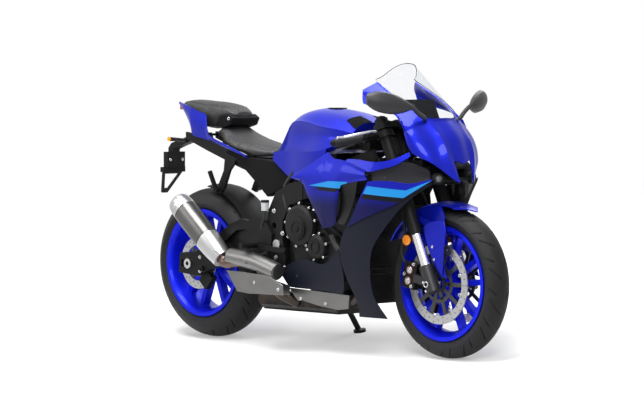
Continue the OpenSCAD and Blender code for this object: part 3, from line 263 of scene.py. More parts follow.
@dataclass(frozen=True)
class Finish:
    """One surface finish, made into a material when it is first used."""

    name: str
    slot: str
    colour: Colour
    shade: Colour
    roughness: float = 0.4
    spread: float = 0.08
    metallic: float = 0.0
    coat: float = 0.0
    grain: Grain = Grain.CAST
    height: float = 0.05
    patch: float = 9.0
    specular: float = 0.5

    def tint(self, graph: Graph, base: Sock) -> Sock:
        """Colour over the surface; a plain finish keeps the mottled base."""
        return base

    def rough(self, graph: Graph, base: Sock) -> Sock:
        """Roughness over the surface; a plain finish keeps the mottled base."""
        return base

    def metal(self, graph: Graph) -> Value:
        """Metallic share over the surface."""
        return self.metallic

    def relief(self, graph: Graph) -> Sock:
        """Height that drives the bump."""
        *stretch, size = self.grain.value
        where = graph.place(tuple(stretch))
        if self.grain is Grain.HIDE:
            return graph.cells(where, size)
        return graph.noise(where, size, 3.0)

    def make(self) -> bpy.types.Material:
        """Build the material."""
        graph = Graph(bpy.data.materials.new(self.name))
        patches = graph.noise(graph.place(), self.patch, 4.0)
        base = graph.mix(patches, self.colour, self.shade)
        sockets = {
            "Base Color": self.tint(graph, base),
            "Roughness": self.rough(graph, patches * self.spread + (self.roughness - self.spread / 2)),
            "Metallic": self.metal(graph),
            "Specular IOR Level": self.specular,
            "Coat Weight": self.coat,
            "Coat Roughness": 0.04,
            "Normal": graph.node("ShaderNodeBump", {}, {
                "Strength": 1.0, "Distance": self.height * MM, "Height": self.relief(graph)}),
        }
        return graph.surface(graph.node("ShaderNodeBsdfPrincipled", {}, sockets))


@lru_cache(maxsize=None)
def material_of(finish: Finish) -> bpy.types.Material:
    """The finish's material, made once."""
    return finish.make()


@dataclass(frozen=True)
class PanelPaint(Finish):
    """Paint on the outside of a thin panel, with its inside left black."""

    inside: Colour = (0.004, 0.004, 0.005)

    def tint(self, graph: Graph, base: Sock) -> Sock:
        """Turn the faces that look at the middle of the machine black."""
        return graph.mix(graph.outward().over(-0.05, -0.2), self.paint(graph, base), self.inside)

    def paint(self, graph: Graph, base: Sock) -> Sock:
        """Colour of the outside."""
        return base


@dataclass(frozen=True)
class StripedPaint(PanelPaint):
    """Gloss paint darkened downward by painted shade, with a bright stripe over a black line on both sides of
    the duct.
    """

    stripe: Colour = (0.012, 0.22, 0.55)
    lining: Colour = (0.003, 0.003, 0.005)
    # painted shade: the lower panel darkens into this colour between the two heights below
    deep: Colour = (0.0005, 0.0008, 0.055)
    painted_shade_top: float = 680.0
    painted_shade_bottom: float = 590.0
    soft: float = 0.8
    rear_upper: Slant = (819.0, 674.0, 0.168)
    rear_lower: Slant = (819.0, 674.0, -0.036)
    rear_top: float = 695.0
    rear_cut: Slant = (1059.0, 694.0, 1.67)
    rear_line: float = 16.0
    line_fade: tuple[float, float] = (820.0, 900.0)
    front_upper: tuple[Slant, Slant] = ((1170.0, 682.0, -0.083), (1339.0, 668.0, 0.4416))
    front_lower: tuple[Slant, Slant] = ((1148.0, 651.0, -0.0714), (1330.0, 638.0, 0.703))
    front_cut: Slant = (1148.0, 651.0, 0.71)
    front_line: float = 20.0

    def between(self, value: Sock, low: Value, high: Value) -> Sock:
        """1 where the value lies between two others, with a thin soft edge."""
        return (value - low).over(-self.soft, self.soft) * (high - value).over(-self.soft, self.soft)

    def paint(self, graph: Graph, base: Sock) -> Sock:
        """Darken the lower panel with painted shade, then lay both stripes over the paint in side view."""
        x, _, z = graph.spot()
        rear_high = height_of(x, self.rear_upper).math("MINIMUM", self.rear_top)
        rear_low = height_of(x, self.rear_lower)
        rear_end = ahead_of(x, z, self.rear_cut).over(self.soft, -self.soft)
        rear = self.between(z, rear_low, rear_high) * rear_end
        rear_line = self.between(z, rear_low - self.rear_line, rear_low) * x.over(*self.line_fade) * rear_end
        front_high, front_low = (height_of(x, line[0]).math("MAXIMUM", height_of(x, line[1]))
                                 for line in (self.front_upper, self.front_lower))
        start = ahead_of(x, z, self.front_cut).over(-self.soft, self.soft)
        front = self.between(z, front_low, front_high) * start
        front_line = self.between(z, front_low - self.front_line, front_low) * start
        # painted shade: the blue darkens towards the bottom of the panel into the deep colour
        deep = graph.mix(z.over(self.painted_shade_top, self.painted_shade_bottom), base, self.deep)
        dark = graph.mix(rear_line.math("MAXIMUM", front_line), deep, self.lining)
        return graph.mix(rear.math("MAXIMUM", front), dark, self.stripe)


@dataclass(frozen=True)
class TankPaint(Finish):
    """Gloss paint with a dull black flank under the bars."""

    lining: Colour = (0.003, 0.003, 0.0035)
    knee: Slant = (903.0, 800.0, 0.6)
    shoulder: float = 872.0

    def flank(self, graph: Graph) -> Sock:
        """1 on the flank ahead of the knee and below the shoulder."""
        x, _, z = graph.spot()
        return ahead_of(x, z, self.knee).over(-1.0, 1.0) * z.over(self.shoulder + 1, self.shoulder - 1)

    def tint(self, graph: Graph, base: Sock) -> Sock:
        """Black flank in the paint."""
        return graph.mix(self.flank(graph), base, self.lining)

    def rough(self, graph: Graph, base: Sock) -> Sock:
        """Duller flank."""
        return self.flank(graph) * 0.3 + base

    def metal(self, graph: Graph) -> Value:
        """No metal flake on the flank."""
        return (1 - self.flank(graph)) * self.metallic


@dataclass(frozen=True)
class DuctPaint(PanelPaint):
    """Grey recess ahead of a black side duct."""

    split: float = 1160.0
    duct: Colour = (0.004, 0.004, 0.0045)

    def paint(self, graph: Graph, base: Sock) -> Sock:
        """Black behind the split, grey ahead of it."""
        x, _, _ = graph.spot()
        return graph.mix(x.over(self.split - 4, self.split + 4), self.duct, base)


@dataclass(frozen=True)
class ForkSteel(Finish):
    """Polished fork tube above a black foot."""

    joint: float = 391.0
    foot: Colour = (0.010, 0.010, 0.011)

    def above(self, graph: Graph) -> Sock:
        """1 above the top of the foot, measured up the steering axis."""
        x, _, z = graph.spot()
        rake = math.radians(MACHINE.rake)
        up = (MACHINE.steer_x - x) * math.sin(rake) + z * math.cos(rake)
        return up.over(self.joint - 0.5, self.joint + 0.5)

    def tint(self, graph: Graph, base: Sock) -> Sock:
        """Bright tube, black foot."""
        return graph.mix(self.above(graph), self.foot, base)

    def rough(self, graph: Graph, base: Sock) -> Sock:
        """Duller foot."""
        return (1 - self.above(graph)) * 0.3 + base

    def metal(self, graph: Graph) -> Value:
        """Bare metal on the tube."""
        return self.above(graph) * 0.7 + 0.3


@dataclass(frozen=True)
class TippedPlastic(Finish):
    """Black plastic arm with a coloured lens at its tip."""

    lens: Colour = (0.75, 0.24, 0.01)
    reach: float = 109.0

    def tint(self, graph: Graph, base: Sock) -> Sock:
        """Lens colour beyond the arm's reach."""
        side = graph.spot()[1].math("ABSOLUTE")
        return graph.mix(side.over(self.reach - 1, self.reach + 1), base, self.lens)


@dataclass(frozen=True)
class SilencerMetal(Finish):
    """Brushed silencer with a polished collar at its outlet and a polished front shield."""

    collar: float = 62.0
    shield: float = 238.0
    polish: Colour = (0.46, 0.46, 0.46)
    joint: Colour = (0.02, 0.02, 0.02)

    def along(self, graph: Graph) -> Sock:
        """Distance in millimetres from the outlet."""
        x, _, z = graph.spot()
        (start_x, _, start_z), (run_x, _, run_z) = MACHINE.outlet, MACHINE.outlet_run
        return (x - start_x) * run_x + (z - start_z) * run_z

    def polished(self, graph: Graph) -> Sock:
        """1 on the collar and the shield."""
        away = self.along(graph)
        return away.over(self.collar + 1, self.collar - 1).math(
            "MAXIMUM", away.over(self.shield - 1, self.shield + 1))

    def tint(self, graph: Graph, base: Sock) -> Sock:
        """Brighter metal where it is polished, a dark gap at each joint."""
        away = self.along(graph)
        gap = (away - self.collar).math("ABSOLUTE").math("MINIMUM", (away - self.shield).math("ABSOLUTE"))
        body = graph.mix(self.polished(graph), base, self.polish)
        return graph.mix(gap.over(2.4, 1.4), body, self.joint)


@dataclass(frozen=True)
class DiscSteel(Finish):
    """Ground steel brake ring on a black carrier."""

    centre: Point = MACHINE.front_axle
    ring: float = 127.0
    carrier: Colour = (0.015, 0.015, 0.017)

    def ground(self, graph: Graph) -> Sock:
        """1 on the brake ring, 0 on the carrier."""
        return graph.radius(self.centre).over(self.ring - 1, self.ring + 1)

    def tint(self, graph: Graph, base: Sock) -> Sock:
        """Bright outside the carrier, black inside it."""
        return graph.mix(self.ground(graph), self.carrier, base)

    def metal(self, graph: Graph) -> Value:
        """Bare metal on the ring only."""
        return self.ground(graph) * self.metallic

    def relief(self, graph: Graph) -> Sock:
        """Fine turning marks round the axle."""
        rings = graph.radius(self.centre)
        return graph.noise(graph.node("ShaderNodeCombineXYZ", {}, {0: rings}), 1.4, 2.0)


@dataclass(frozen=True)
class TyreRubber(Finish):
    """Black rubber with a smooth sidewall and fine moulded rings."""

    centre: Point = MACHINE.front_axle
    outer: float = MACHINE.front_axle[2]
    sidewall: Colour = (0.011, 0.011, 0.012)

    def tint(self, graph: Graph, base: Sock) -> Sock:
        """Sidewall that runs into the tread's own colour."""
        tread = graph.radius(self.centre).over(self.outer - 40, self.outer - 10)
        return graph.mix(tread, self.sidewall, base)

    def relief(self, graph: Graph) -> Sock:
        """Moulded rings on the sidewall and grain on the tread."""
        away = graph.radius(self.centre)
        rings = (away * 0.9).math("SINE") * away.over(self.outer - 30, self.outer - 50)
        return rings * 0.5 + graph.noise(graph.place(), 900.0, 2.0)


@dataclass(frozen=True)
class HeatTint(Finish):
    """Steel pipe that runs from straw near the head to blue-brown further down."""

    top: float = 520.0
    bottom: float = 160.0

    def tint(self, graph: Graph, base: Sock) -> Sock:
        """Colour bands by height, broken up by noise."""
        _, _, z = graph.spot()
        drift = graph.noise(graph.place(), 30.0, 3.0)
        share = (z - self.bottom) / (self.top - self.bottom) + drift * 0.35 - 0.17
        return graph.node("ShaderNodeValToRGB", {"stops": [
            (0.0, (0.014, 0.013, 0.012)), (0.35, (0.09, 0.065, 0.05)), (0.6, (0.12, 0.085, 0.07)),
            (0.8, (0.10, 0.075, 0.08)), (1.0, (0.17, 0.13, 0.07))]}, {0: share})


@dataclass(frozen=True)
class ClearSheet:
    """Thin transparent moulded sheet."""

    name: str
    slot: str
    colour: Colour
    roughness: float = 0.02

    def make(self) -> bpy.types.Material:
        """Mix a clear pane with a faint gloss by the angle of view, as a thin sheet does."""
        graph = Graph(bpy.data.materials.new(self.name))
        haze = graph.noise(graph.place(), 40.0, 2.0)
        clear = graph.node("ShaderNodeBsdfTransparent", {}, {"Color": (*self.colour, 1.0)})
        gloss = graph.node("ShaderNodeBsdfPrincipled", {}, {
            "Base Color": graph.mix(haze, (0.10, 0.12, 0.15), (0.14, 0.16, 0.19)),
            "Roughness": haze * 0.03 + self.roughness})
        facing = graph.node("ShaderNodeLayerWeight", {}, {"Blend": 0.15}, "Facing")
        return graph.surface(graph.node("ShaderNodeMixShader", {}, {
            0: facing * 0.1 + 0.006, 1: clear, 2: gloss}))


Look = Union[Finish, ClearSheet]
GLOSS = ("blue_paint", (0.002, 0.006, 0.27), (0.003, 0.009, 0.34), 0.34, 0.05, 0.55, 0.22, Grain.PEEL,
         0.008, 6.0, 0.1)
BLUE = Finish("gloss_blue", *GLOSS)
STRIPES = StripedPaint("gloss_blue_stripes", *GLOSS)
PANEL_BLUE = PanelPaint("gloss_blue_panel", *GLOSS)
TANK_BLUE = TankPaint("gloss_blue_tank", *GLOSS)
WHEEL_BLUE = Finish("wheel_blue", "blue_paint", (0.003, 0.008, 0.48), (0.005, 0.013, 0.60), 0.36, 0.06,
                    0.5, 0.1, Grain.PEEL, 0.012, 14.0, 0.1)
NAVY = PanelPaint("matt_navy", "navy_paint", (0.0035, 0.0042, 0.0100), (0.005, 0.006, 0.0135), 0.46, 0.06,
                  0.1, 0.0, Grain.PEEL, 0.015, 7.0, 0.12)
BLACK_METAL = Finish("satin_black_metal", "black_metal", (0.004, 0.004, 0.0045), (0.007, 0.007, 0.0075),
                     0.46, 0.14, 0.15, 0.0, Grain.CAST, 0.08, 20.0, 0.14)
ENGINE_BLACK = Finish("cast_black_engine", "black_metal", (0.006, 0.006, 0.0065), (0.011, 0.011, 0.012),
                      0.5, 0.16, 0.15, 0.0, Grain.CAST, 0.18, 25.0, 0.17)
BLACK_PLASTIC = Finish("moulded_black", "black_plastic", (0.004, 0.004, 0.0045), (0.006, 0.006, 0.0065),
                       0.52, 0.08, 0.0, 0.0, Grain.MOULDED, 0.04, 12.0, 0.12)
LINING = Finish("dull_black_lining", "black_plastic", (0.003, 0.003, 0.0035), (0.005, 0.005, 0.0055), 0.7,
                0.08, 0.0, 0.0, Grain.MOULDED, 0.05, 12.0, 0.08)
GREY_PLASTIC = Finish("moulded_dark_grey", "black_plastic", (0.012, 0.012, 0.0135), (0.018, 0.018, 0.020),
                      0.48, 0.08, 0.0, 0.0, Grain.MOULDED, 0.04, 12.0, 0.3)
GUN_GREY = DuctPaint("duct_grey", "black_plastic", (0.008, 0.008, 0.011), (0.012, 0.012, 0.015), 0.42,
                     0.08, 0.0, 0.0, Grain.MOULDED, 0.03, 12.0, 0.15)
RADIATOR_BLACK = Finish("radiator_core", "radiator_black", (0.008, 0.008, 0.008), (0.015, 0.015, 0.015),
                        0.5, 0.1, 0.2, 0.0, Grain.CAST, 0.06, 30.0, 0.25)
TITANIUM = Finish("brushed_titanium", "titanium", (0.15, 0.148, 0.145), (0.20, 0.198, 0.195), 0.36, 0.12,
                  1.0, 0.0, Grain.BRUSHED_X, 0.02, 16.0)
SILENCER = SilencerMetal("brushed_silencer", "titanium", (0.10, 0.0985, 0.0965), (0.135, 0.133, 0.13),
                         0.36, 0.12, 1.0, 0.0, Grain.BRUSHED_X, 0.02, 16.0)
BRIGHT = Finish("bright_steel", "bright_steel", (0.46, 0.46, 0.47), (0.58, 0.58, 0.59), 0.26, 0.12, 1.0,
                0.0, Grain.PEEL, 0.004, 30.0)
HEADERS = HeatTint("heated_steel", "exhaust_brown", (0.14, 0.11, 0.08), (0.16, 0.12, 0.09), 0.34, 0.12,
                   0.85, 0.0, Grain.CAST, 0.04, 20.0)
SHOCK = Finish("shock_alloy", "shock_metal", (0.20, 0.18, 0.12), (0.26, 0.23, 0.15), 0.34, 0.1, 0.7, 0.0,
               Grain.CAST, 0.03, 20.0)
CHAIN = Finish("chain_steel", "chain_steel", (0.20, 0.17, 0.11), (0.28, 0.24, 0.15), 0.38, 0.14, 0.9, 0.0,
               Grain.CAST, 0.06, 60.0)
CHROME = ForkSteel("chromed_tube", "chrome_tube", (0.62, 0.62, 0.64), (0.70, 0.70, 0.72), 0.14, 0.05, 1.0,
                   0.0, Grain.PEEL, 0.003, 20.0)
DISC = ("bright_steel", (0.36, 0.36, 0.36), (0.44, 0.44, 0.44), 0.36, 0.1, 1.0, 0.0, Grain.CAST, 0.015,
        40.0)
FRONT_DISC = DiscSteel("front_disc_steel", *DISC)
REAR_DISC = DiscSteel("rear_disc_steel", *DISC, centre=MACHINE.rear_axle, ring=76.0)
RUBBER = ("tyre_rubber", (0.0055, 0.0055, 0.006), (0.009, 0.009, 0.0095), 0.62, 0.1, 0.0, 0.0, Grain.CAST,
          0.10, 16.0, 0.18)
FRONT_TYRE = TyreRubber("front_tyre_rubber", *RUBBER)
REAR_TYRE = TyreRubber("rear_tyre_rubber", *RUBBER, centre=MACHINE.rear_axle, outer=MACHINE.rear_axle[2])
GRIP = Finish("grip_rubber", "grip_rubber", (0.007, 0.007, 0.0075), (0.011, 0.011, 0.012), 0.7, 0.1, 0.0,
              0.0, Grain.HIDE, 0.3, 30.0, 0.3)
HOSE = Finish("hose_rubber", "grip_rubber", (0.006, 0.006, 0.0065), (0.010, 0.010, 0.0105), 0.5, 0.1, 0.0,
              0.0, Grain.MOULDED, 0.05, 30.0, 0.35)
COVER = Finish("seat_vinyl", "seat_cover", (0.011, 0.011, 0.012), (0.016, 0.016, 0.017), 0.56, 0.1, 0.0,
               0.0, Grain.HIDE, 0.10, 14.0, 0.35)
THREAD = Finish("seat_thread", "seat_cover", (0.022, 0.022, 0.024), (0.03, 0.03, 0.032), 0.6, 0.1, 0.0,
                0.0, Grain.MOULDED, 0.05, 40.0, 0.3)
SCREEN = ClearSheet("clear_screen", "clear_screen", (0.965, 0.97, 0.98))
LENS = Finish("lamp_lens", "lamp_lens", (0.05, 0.055, 0.06), (0.09, 0.095, 0.10), 0.08, 0.04, 0.3, 0.8,
              Grain.PEEL, 0.02, 60.0)
GLASS = Finish("mirror_glass", "lamp_lens", (0.55, 0.57, 0.60), (0.60, 0.62, 0.65), 0.04, 0.02, 1.0, 0.0,
               Grain.PEEL, 0.002, 30.0)
DISPLAY = Finish("display_glass", "lamp_lens", (0.006, 0.008, 0.012), (0.010, 0.013, 0.018), 0.08, 0.03,
                 0.0, 0.6, Grain.PEEL, 0.002, 30.0)
CUP = Finish("reservoir_plastic", "lamp_lens", (0.30, 0.31, 0.32), (0.38, 0.39, 0.40), 0.35, 0.06, 0.0,
             0.1, Grain.MOULDED, 0.03, 30.0)
RUST = Finish("anodised_orange", "exhaust_brown", (0.20, 0.05, 0.015), (0.26, 0.07, 0.02), 0.35, 0.06,
              0.6, 0.0, Grain.CAST, 0.02, 30.0)
RED = Finish("red_lens", "red_lens", (0.16, 0.003, 0.004), (0.22, 0.005, 0.006), 0.12, 0.04, 0.0, 0.6,
             Grain.PEEL, 0.05, 60.0)
AMBER = Finish("amber_lens", "amber_lens", (0.60, 0.17, 0.006), (0.72, 0.23, 0.01), 0.2, 0.05, 0.0, 0.3,
               Grain.HIDE, 0.2, 60.0)
ARM = TippedPlastic("indicator_arm", "amber_lens", (0.006, 0.006, 0.0065), (0.009, 0.009, 0.010), 0.4,
                    0.08, 0.0, 0.0, Grain.MOULDED, 0.03, 30.0, 0.3)


class Body(Enum):
    """Moving groups that carry pieces added here."""

    CHASSIS = "chassis"
    FRONT = "front_end"
    FRONT_WHEEL = "front_wheel"


class Edge(Enum):
    """How a solid's skin is finished."""

    BEVEL = "bevel"
    SMOOTH = "smooth"


def link(name: str, mesh: bpy.types.Mesh, finishes: Sequence[Look]) -> bpy.types.Object:
    """Add a mesh to the scene with its materials.

    Args:
        name: name of the piece.
        mesh: finished mesh, in the row frame.
        finishes: finish of each material index.

    Returns:
        The new object.
    """
    piece = bpy.data.objects.new(name, mesh)
    bpy.context.scene.collection.objects.link(piece)
    for finish in finishes:
        mesh.materials.append(material_of(finish))
    return piece


def mesh_of(bm: bmesh.types.BMesh, name: str) -> bpy.types.Mesh:
    """Turn a finished bmesh into a mesh of that name."""
    mesh = bpy.data.meshes.new(name)
    bm.to_mesh(mesh)
    bm.free()
    return mesh


def shade(bm: bmesh.types.BMesh, limit: float) -> None:
    """Smooth every face, with a hard edge where two faces meet at more than the limit, in radians."""
    for edge in bm.edges:
        edge.smooth = edge.is_manifold and edge.calc_face_angle() <= limit
    for face in bm.faces:
        face.smooth = True


def round_edges(piece: bpy.types.Object, width: float, limit: float, harden: bool = False) -> None:
    """Bevel the edges of a piece by a width in millimetres where they are sharper than the limit."""
    rounded = piece.modifiers.new("edges", "BEVEL")
    rounded.width = width * MM
    rounded.segments = 2
    rounded.limit_method = "ANGLE"
    rounded.angle_limit = limit
    rounded.harden_normals = harden


class Sculpt:
    """Mesh under construction, in millimetres of the upright machine."""

    def __init__(self) -> None:
        """Start with nothing."""
        self.bm = bmesh.new()

    @staticmethod
    def stance(at: Sequence[float], axis: Sequence[float]) -> Matrix:
        """Matrix that puts local Z along an axis at a point."""
        return Matrix.Translation(Vector(at)) @ Vector(axis).to_track_quat("Z", "Y").to_matrix().to_4x4()

    def disc(self, at: Sequence[float], axis: Sequence[float], radius: float, height: float, sides: int = 24,
             top: Optional[float] = None) -> "Sculpt":
        """Add a round or many-sided boss that stands on a point; top is its upper radius."""
        upper = radius if top is None else top
        place = self.stance(at, axis) @ Matrix.Translation((0, 0, height / 2))
        bmesh.ops.create_cone(self.bm, cap_ends=True, segments=sides, radius1=radius, radius2=upper,
                              depth=height, matrix=place)
        return self

    def ring(self, at: Sequence[float], axis: Sequence[float], inner: float, outer: float, height: float,
             sides: int = 40) -> "Sculpt":
        """Add a flat ring that stands on a point."""
        outline = ((inner, 0, 0), (outer, 0, 0), (outer, 0, height), (inner, 0, height))
        corners = [self.bm.verts.new(corner) for corner in outline]
        edges = [self.bm.edges.new((corners[k - 1], corners[k])) for k in range(4)]
        before = set(self.bm.verts) - set(corners)
        bmesh.ops.spin(self.bm, geom=corners + edges, cent=(0, 0, 0), axis=(0, 0, 1), angle=2 * math.pi,
                       steps=sides, use_merge=True, use_duplicate=False)
        made = [vert for vert in self.bm.verts if vert not in before]
        bmesh.ops.transform(self.bm, matrix=self.stance(at, axis), verts=made)
        return self

    def bolt(self, at: Sequence[float], axis: Sequence[float], radius: float = 5.0) -> "Sculpt":
        """Add a hexagon screw head on a washer."""
        away = Vector(at) + Vector(axis).normalized() * 1.2
        self.disc(at, axis, radius * 1.35, 1.2, 20)
        return self.disc(away, axis, radius, radius * 0.8, 6, radius * 0.94)

    def screw(self, at: Sequence[float], axis: Sequence[float], radius: float = 6.0) -> "Sculpt":
        """Add a domed socket screw with a sunk middle."""
        self.ring(at, axis, radius * 0.45, radius, radius * 0.5, 20)
        return self.disc(at, axis, radius * 0.46, radius * 0.3, 6)

    def tube(self, path: Sequence[Sequence[float]], radius: float, sides: int = 10,
             fine: int = 5) -> "Sculpt":
        """Add a round tube along a smooth path with closed ends."""
        knots = [Vector(p) for p in path]
        ends = [knots[0] * 2 - knots[1], *knots, knots[-1] * 2 - knots[-2]]
        line = [self.bend(ends[k:k + 4], j / fine) for k in range(len(knots) - 1) for j in range(fine)]
        line.append(knots[-1])
        rings = []
        side = (line[1] - line[0]).orthogonal().normalized()
        for k, point in enumerate(line):
            run = (line[min(k + 1, len(line) - 1)] - line[max(k - 1, 0)]).normalized()
            side = (side - run * side.dot(run)).normalized()
            place = Matrix((side, run.cross(side), run)).transposed().to_4x4()
            made = bmesh.ops.create_circle(self.bm, cap_ends=k in (0, len(line) - 1), segments=sides,
                                           radius=radius, matrix=Matrix.Translation(point) @ place)
            rings.append(made["verts"])
        for low, high in zip(rings, rings[1:]):
            for k in range(sides):
                self.bm.faces.new((low[k - 1], low[k], high[k], high[k - 1]))
        return self

    @staticmethod
    def bend(knots: Sequence[Vector], share: float) -> Vector:
        """Point of a curve through the second and third of four knots."""
        a, b, c, d = knots
        return 0.5 * (b * 2 + (c - a) * share + (a * 2 - b * 5 + c * 4 - d) * share ** 2
                      + (b * 3 - a - c * 3 + d) * share ** 3)

    def slab(self, outline: Sequence[tuple[float, float]], near: float, far: float) -> "Sculpt":
        """Add a plate with an outline in side view, between two places across the machine."""
        face = self.bm.faces.new([self.bm.verts.new((x, near, z)) for x, z in outline])
        made = bmesh.ops.extrude_face_region(self.bm, geom=[face], use_keep_orig=True)["geom"]
        moved = [item for item in made if isinstance(item, bmesh.types.BMVert)]
        bmesh.ops.translate(self.bm, vec=(0, far - near, 0), verts=moved)
        return self

    def block(self, place: Matrix, size: Sequence[float]) -> "Sculpt":
        """Add a box of a size, centred on a place."""
        bmesh.ops.create_cube(self.bm, size=1.0, matrix=place @ Matrix.Diagonal((*size, 1.0)))
        return self

    def sheet(self, rows: Sequence[Sequence[Vector]], thickness: float, closed: bool = False) -> "Sculpt":
        """Add a sheet through rows of points; closed rows are rings round a filled middle."""
        made = [[self.bm.verts.new(point) for point in row] for row in rows]
        faces = [self.bm.faces.new(made[0])] if closed else []
        faces += [self.bm.faces.new((low[k - 1], low[k], high[k], high[k - 1]))
                  for low, high in zip(made, made[1:]) for k in range(0 if closed else 1, len(low))]
        bmesh.ops.solidify(self.bm, geom=faces, thickness=thickness)
        return self

    def mirrored(self) -> "Sculpt":
        """Add the same again on the other side of the machine."""
        whole = self.bm.verts[:] + self.bm.edges[:] + self.bm.faces[:]
        made = bmesh.ops.duplicate(self.bm, geom=whole)["geom"]
        verts = [item for item in made if isinstance(item, bmesh.types.BMVert)]
        bmesh.ops.scale(self.bm, vec=(1, -1, 1), verts=verts)
        return self

    def steered(self) -> "Sculpt":
        """Take the mesh from the frame of the steering axis to the upright machine."""
        bmesh.ops.transform(self.bm, matrix=MACHINE.steering(), verts=self.bm.verts)
        return self

    def piece(self, name: str, body: Body, finish: Finish, edge: float = 0.6) -> bpy.types.Object:
        """Finish the mesh and let it ride a body.

        Args:
            name: name of the piece.
            body: the moving group that carries it.
            finish: its surface.
            edge: width of its rounded edges in millimetres, 0 for none.

        Returns:
            The piece, at the origin of the row frame.
        """
        bmesh.ops.recalc_face_normals(self.bm, faces=self.bm.faces)
        bmesh.ops.transform(self.bm, matrix=MACHINE.park(), verts=self.bm.verts)
        sharp = math.radians(35)
        shade(self.bm, sharp)
        mesh = mesh_of(self.bm, name)
        made = link(name, mesh, [finish])
        if edge > 0:
            round_edges(made, edge, sharp)
        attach(made, body.value)
        log.info("%s: %d faces", name, len(mesh.polygons))
        return made


@dataclass(frozen=True)
class Skin:
    """Dressed copy of a CAD solid, with rounded edges or a smoothed surface."""

    node: str
    finish: Look
    edge: Edge = Edge.BEVEL
    width: float = 1.2
    sharp: float = 32.0
    rim: Optional[Finish] = None
    fancy: Optional[Finish] = None
    many: int = 100

    def mark(self, bm: bmesh.types.BMesh) -> None:
        """Give the narrow rim of a sheet, or the finely faceted solids, the second finish."""
        groups: list[list[bmesh.types.BMFace]] = []
        seen: set[bmesh.types.BMFace] = set()
        for start in bm.faces:
            if start in seen:
                continue
            seen.add(start)
            group, queue = [start], [start]
            while queue:
                face = queue.pop()
                for edge in face.edges:
                    if self.rim and not edge.smooth:
                        continue
                    for other in edge.link_faces:
                        if other not in seen:
                            seen.add(other)
                            group.append(other)
                            queue.append(other)
            groups.append(group)
        groups.sort(key=len)
        chosen = groups[:-2] if self.rim else [group for group in groups if len(group) > self.many]
        for group in chosen:
            for face in group:
                face.material_index = 1

    def build(self, frame: dict[str, Any]) -> bpy.types.Object:
        """Merge a copy of the node, round it, and let it stand for the node.


        Returns:
            The finished piece.
        """
        source = frame["nodes"][self.node]
        bm = bmesh.new()
        bm.from_mesh(source.data)
        bmesh.ops.remove_doubles(bm, verts=bm.verts, dist=1e-5)
        bmesh.ops.dissolve_degenerate(bm, edges=bm.edges, dist=1e-6)
        limit = math.radians(self.sharp)
        if self.edge is Edge.SMOOTH:
            bmesh.ops.join_triangles(bm, faces=bm.faces, angle_face_threshold=limit,
                                     angle_shape_threshold=math.radians(70))
        else:
            bmesh.ops.dissolve_limit(bm, angle_limit=math.radians(0.4), verts=bm.verts, edges=bm.edges)
        crease = bm.edges.layers.float.new("crease_edge")
        shade(bm, limit)
        for edge in bm.edges:
            edge[crease] = 0.0 if edge.smooth else 1.0
        second = self.rim or self.fancy
        if second:
            self.mark(bm)
        mesh = mesh_of(bm, self.node + "_skin")
        piece = link(self.node + "_skin", mesh, [self.finish, second] if second else [self.finish])
        if self.edge is Edge.SMOOTH:
            rounded = piece.modifiers.new("smooth", "SUBSURF")
            rounded.levels = rounded.render_levels = 1
        elif self.width > 0:
            round_edges(piece, self.width, limit, harden=True)
        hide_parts(self.node)
        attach(piece, source["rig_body"])
        log.info("skin of %s: %d faces", self.node, len(mesh.polygons))
        return piece


SKINS = [
    Skin("frame", BLACK_METAL, width=3.0), Skin("subframe", BLACK_METAL),
    Skin("engine", ENGINE_BLACK, width=2.0), Skin("engine_covers", ENGINE_BLACK, width=2.0),
    Skin("radiator", RADIATOR_BLACK, width=0), Skin("exhaust_pipes", HEADERS, Edge.SMOOTH),
    Skin("exhaust_shields", TITANIUM), Skin("muffler", SILENCER, Edge.SMOOTH),
    Skin("swingarm", BLACK_METAL, width=3.0), Skin("rear_axle", BRIGHT, width=0.8),
    Skin("rear_shock", SHOCK, width=0.8), Skin("chain", CHAIN, width=0.4),
    Skin("rear_caliper", BLACK_METAL, width=2.0), Skin("rear_hugger", BLACK_PLASTIC),
    Skin("nose_cowl", BLUE, Edge.SMOOTH), Skin("windscreen", SCREEN, Edge.SMOOTH, rim=BLACK_PLASTIC),
    Skin("headlights", LENS), Skin("nose_intake", BLACK_PLASTIC), Skin("dash", LINING),
    Skin("side_fairings", STRIPES, Edge.SMOOTH), Skin("side_ducts", GUN_GREY, Edge.SMOOTH),
    Skin("lower_fairings", NAVY, Edge.SMOOTH), Skin("mirrors", GREY_PLASTIC, Edge.SMOOTH),
    Skin("fuel_tank", TANK_BLUE, Edge.SMOOTH), Skin("tank_covers", PANEL_BLUE, Edge.SMOOTH),
    Skin("tail_cowl", PANEL_BLUE, Edge.SMOOTH), Skin("tail_light", RED),
    Skin("plate_bracket", BLACK_PLASTIC), Skin("rear_indicators", ARM, Edge.SMOOTH),
    Skin("rearsets", BLACK_METAL), Skin("passenger_pegs", BLACK_METAL), Skin("fork_tubes", BLACK_METAL),
    Skin("fork_sliders", CHROME), Skin("triple_clamps", BLACK_METAL), Skin("handlebars", BLACK_METAL),
    Skin("grips", GRIP), Skin("levers", BLACK_METAL, fancy=BRIGHT), Skin("front_fender", BLUE),
    Skin("front_calipers", BLACK_METAL, width=4.0), Skin("front_axle", BRIGHT, width=0.8),
    Skin("reflectors", AMBER), Skin("front_rim", WHEEL_BLUE, width=1.6),
    Skin("front_discs", FRONT_DISC, width=0.4), Skin("rear_rim", WHEEL_BLUE, width=1.6),
    Skin("rear_disc", REAR_DISC, width=0.4), Skin("rear_sprocket", BLACK_METAL, width=0.5),
    Skin("side_stand", BLACK_METAL), Skin("fuel_cap", BLACK_METAL),
]


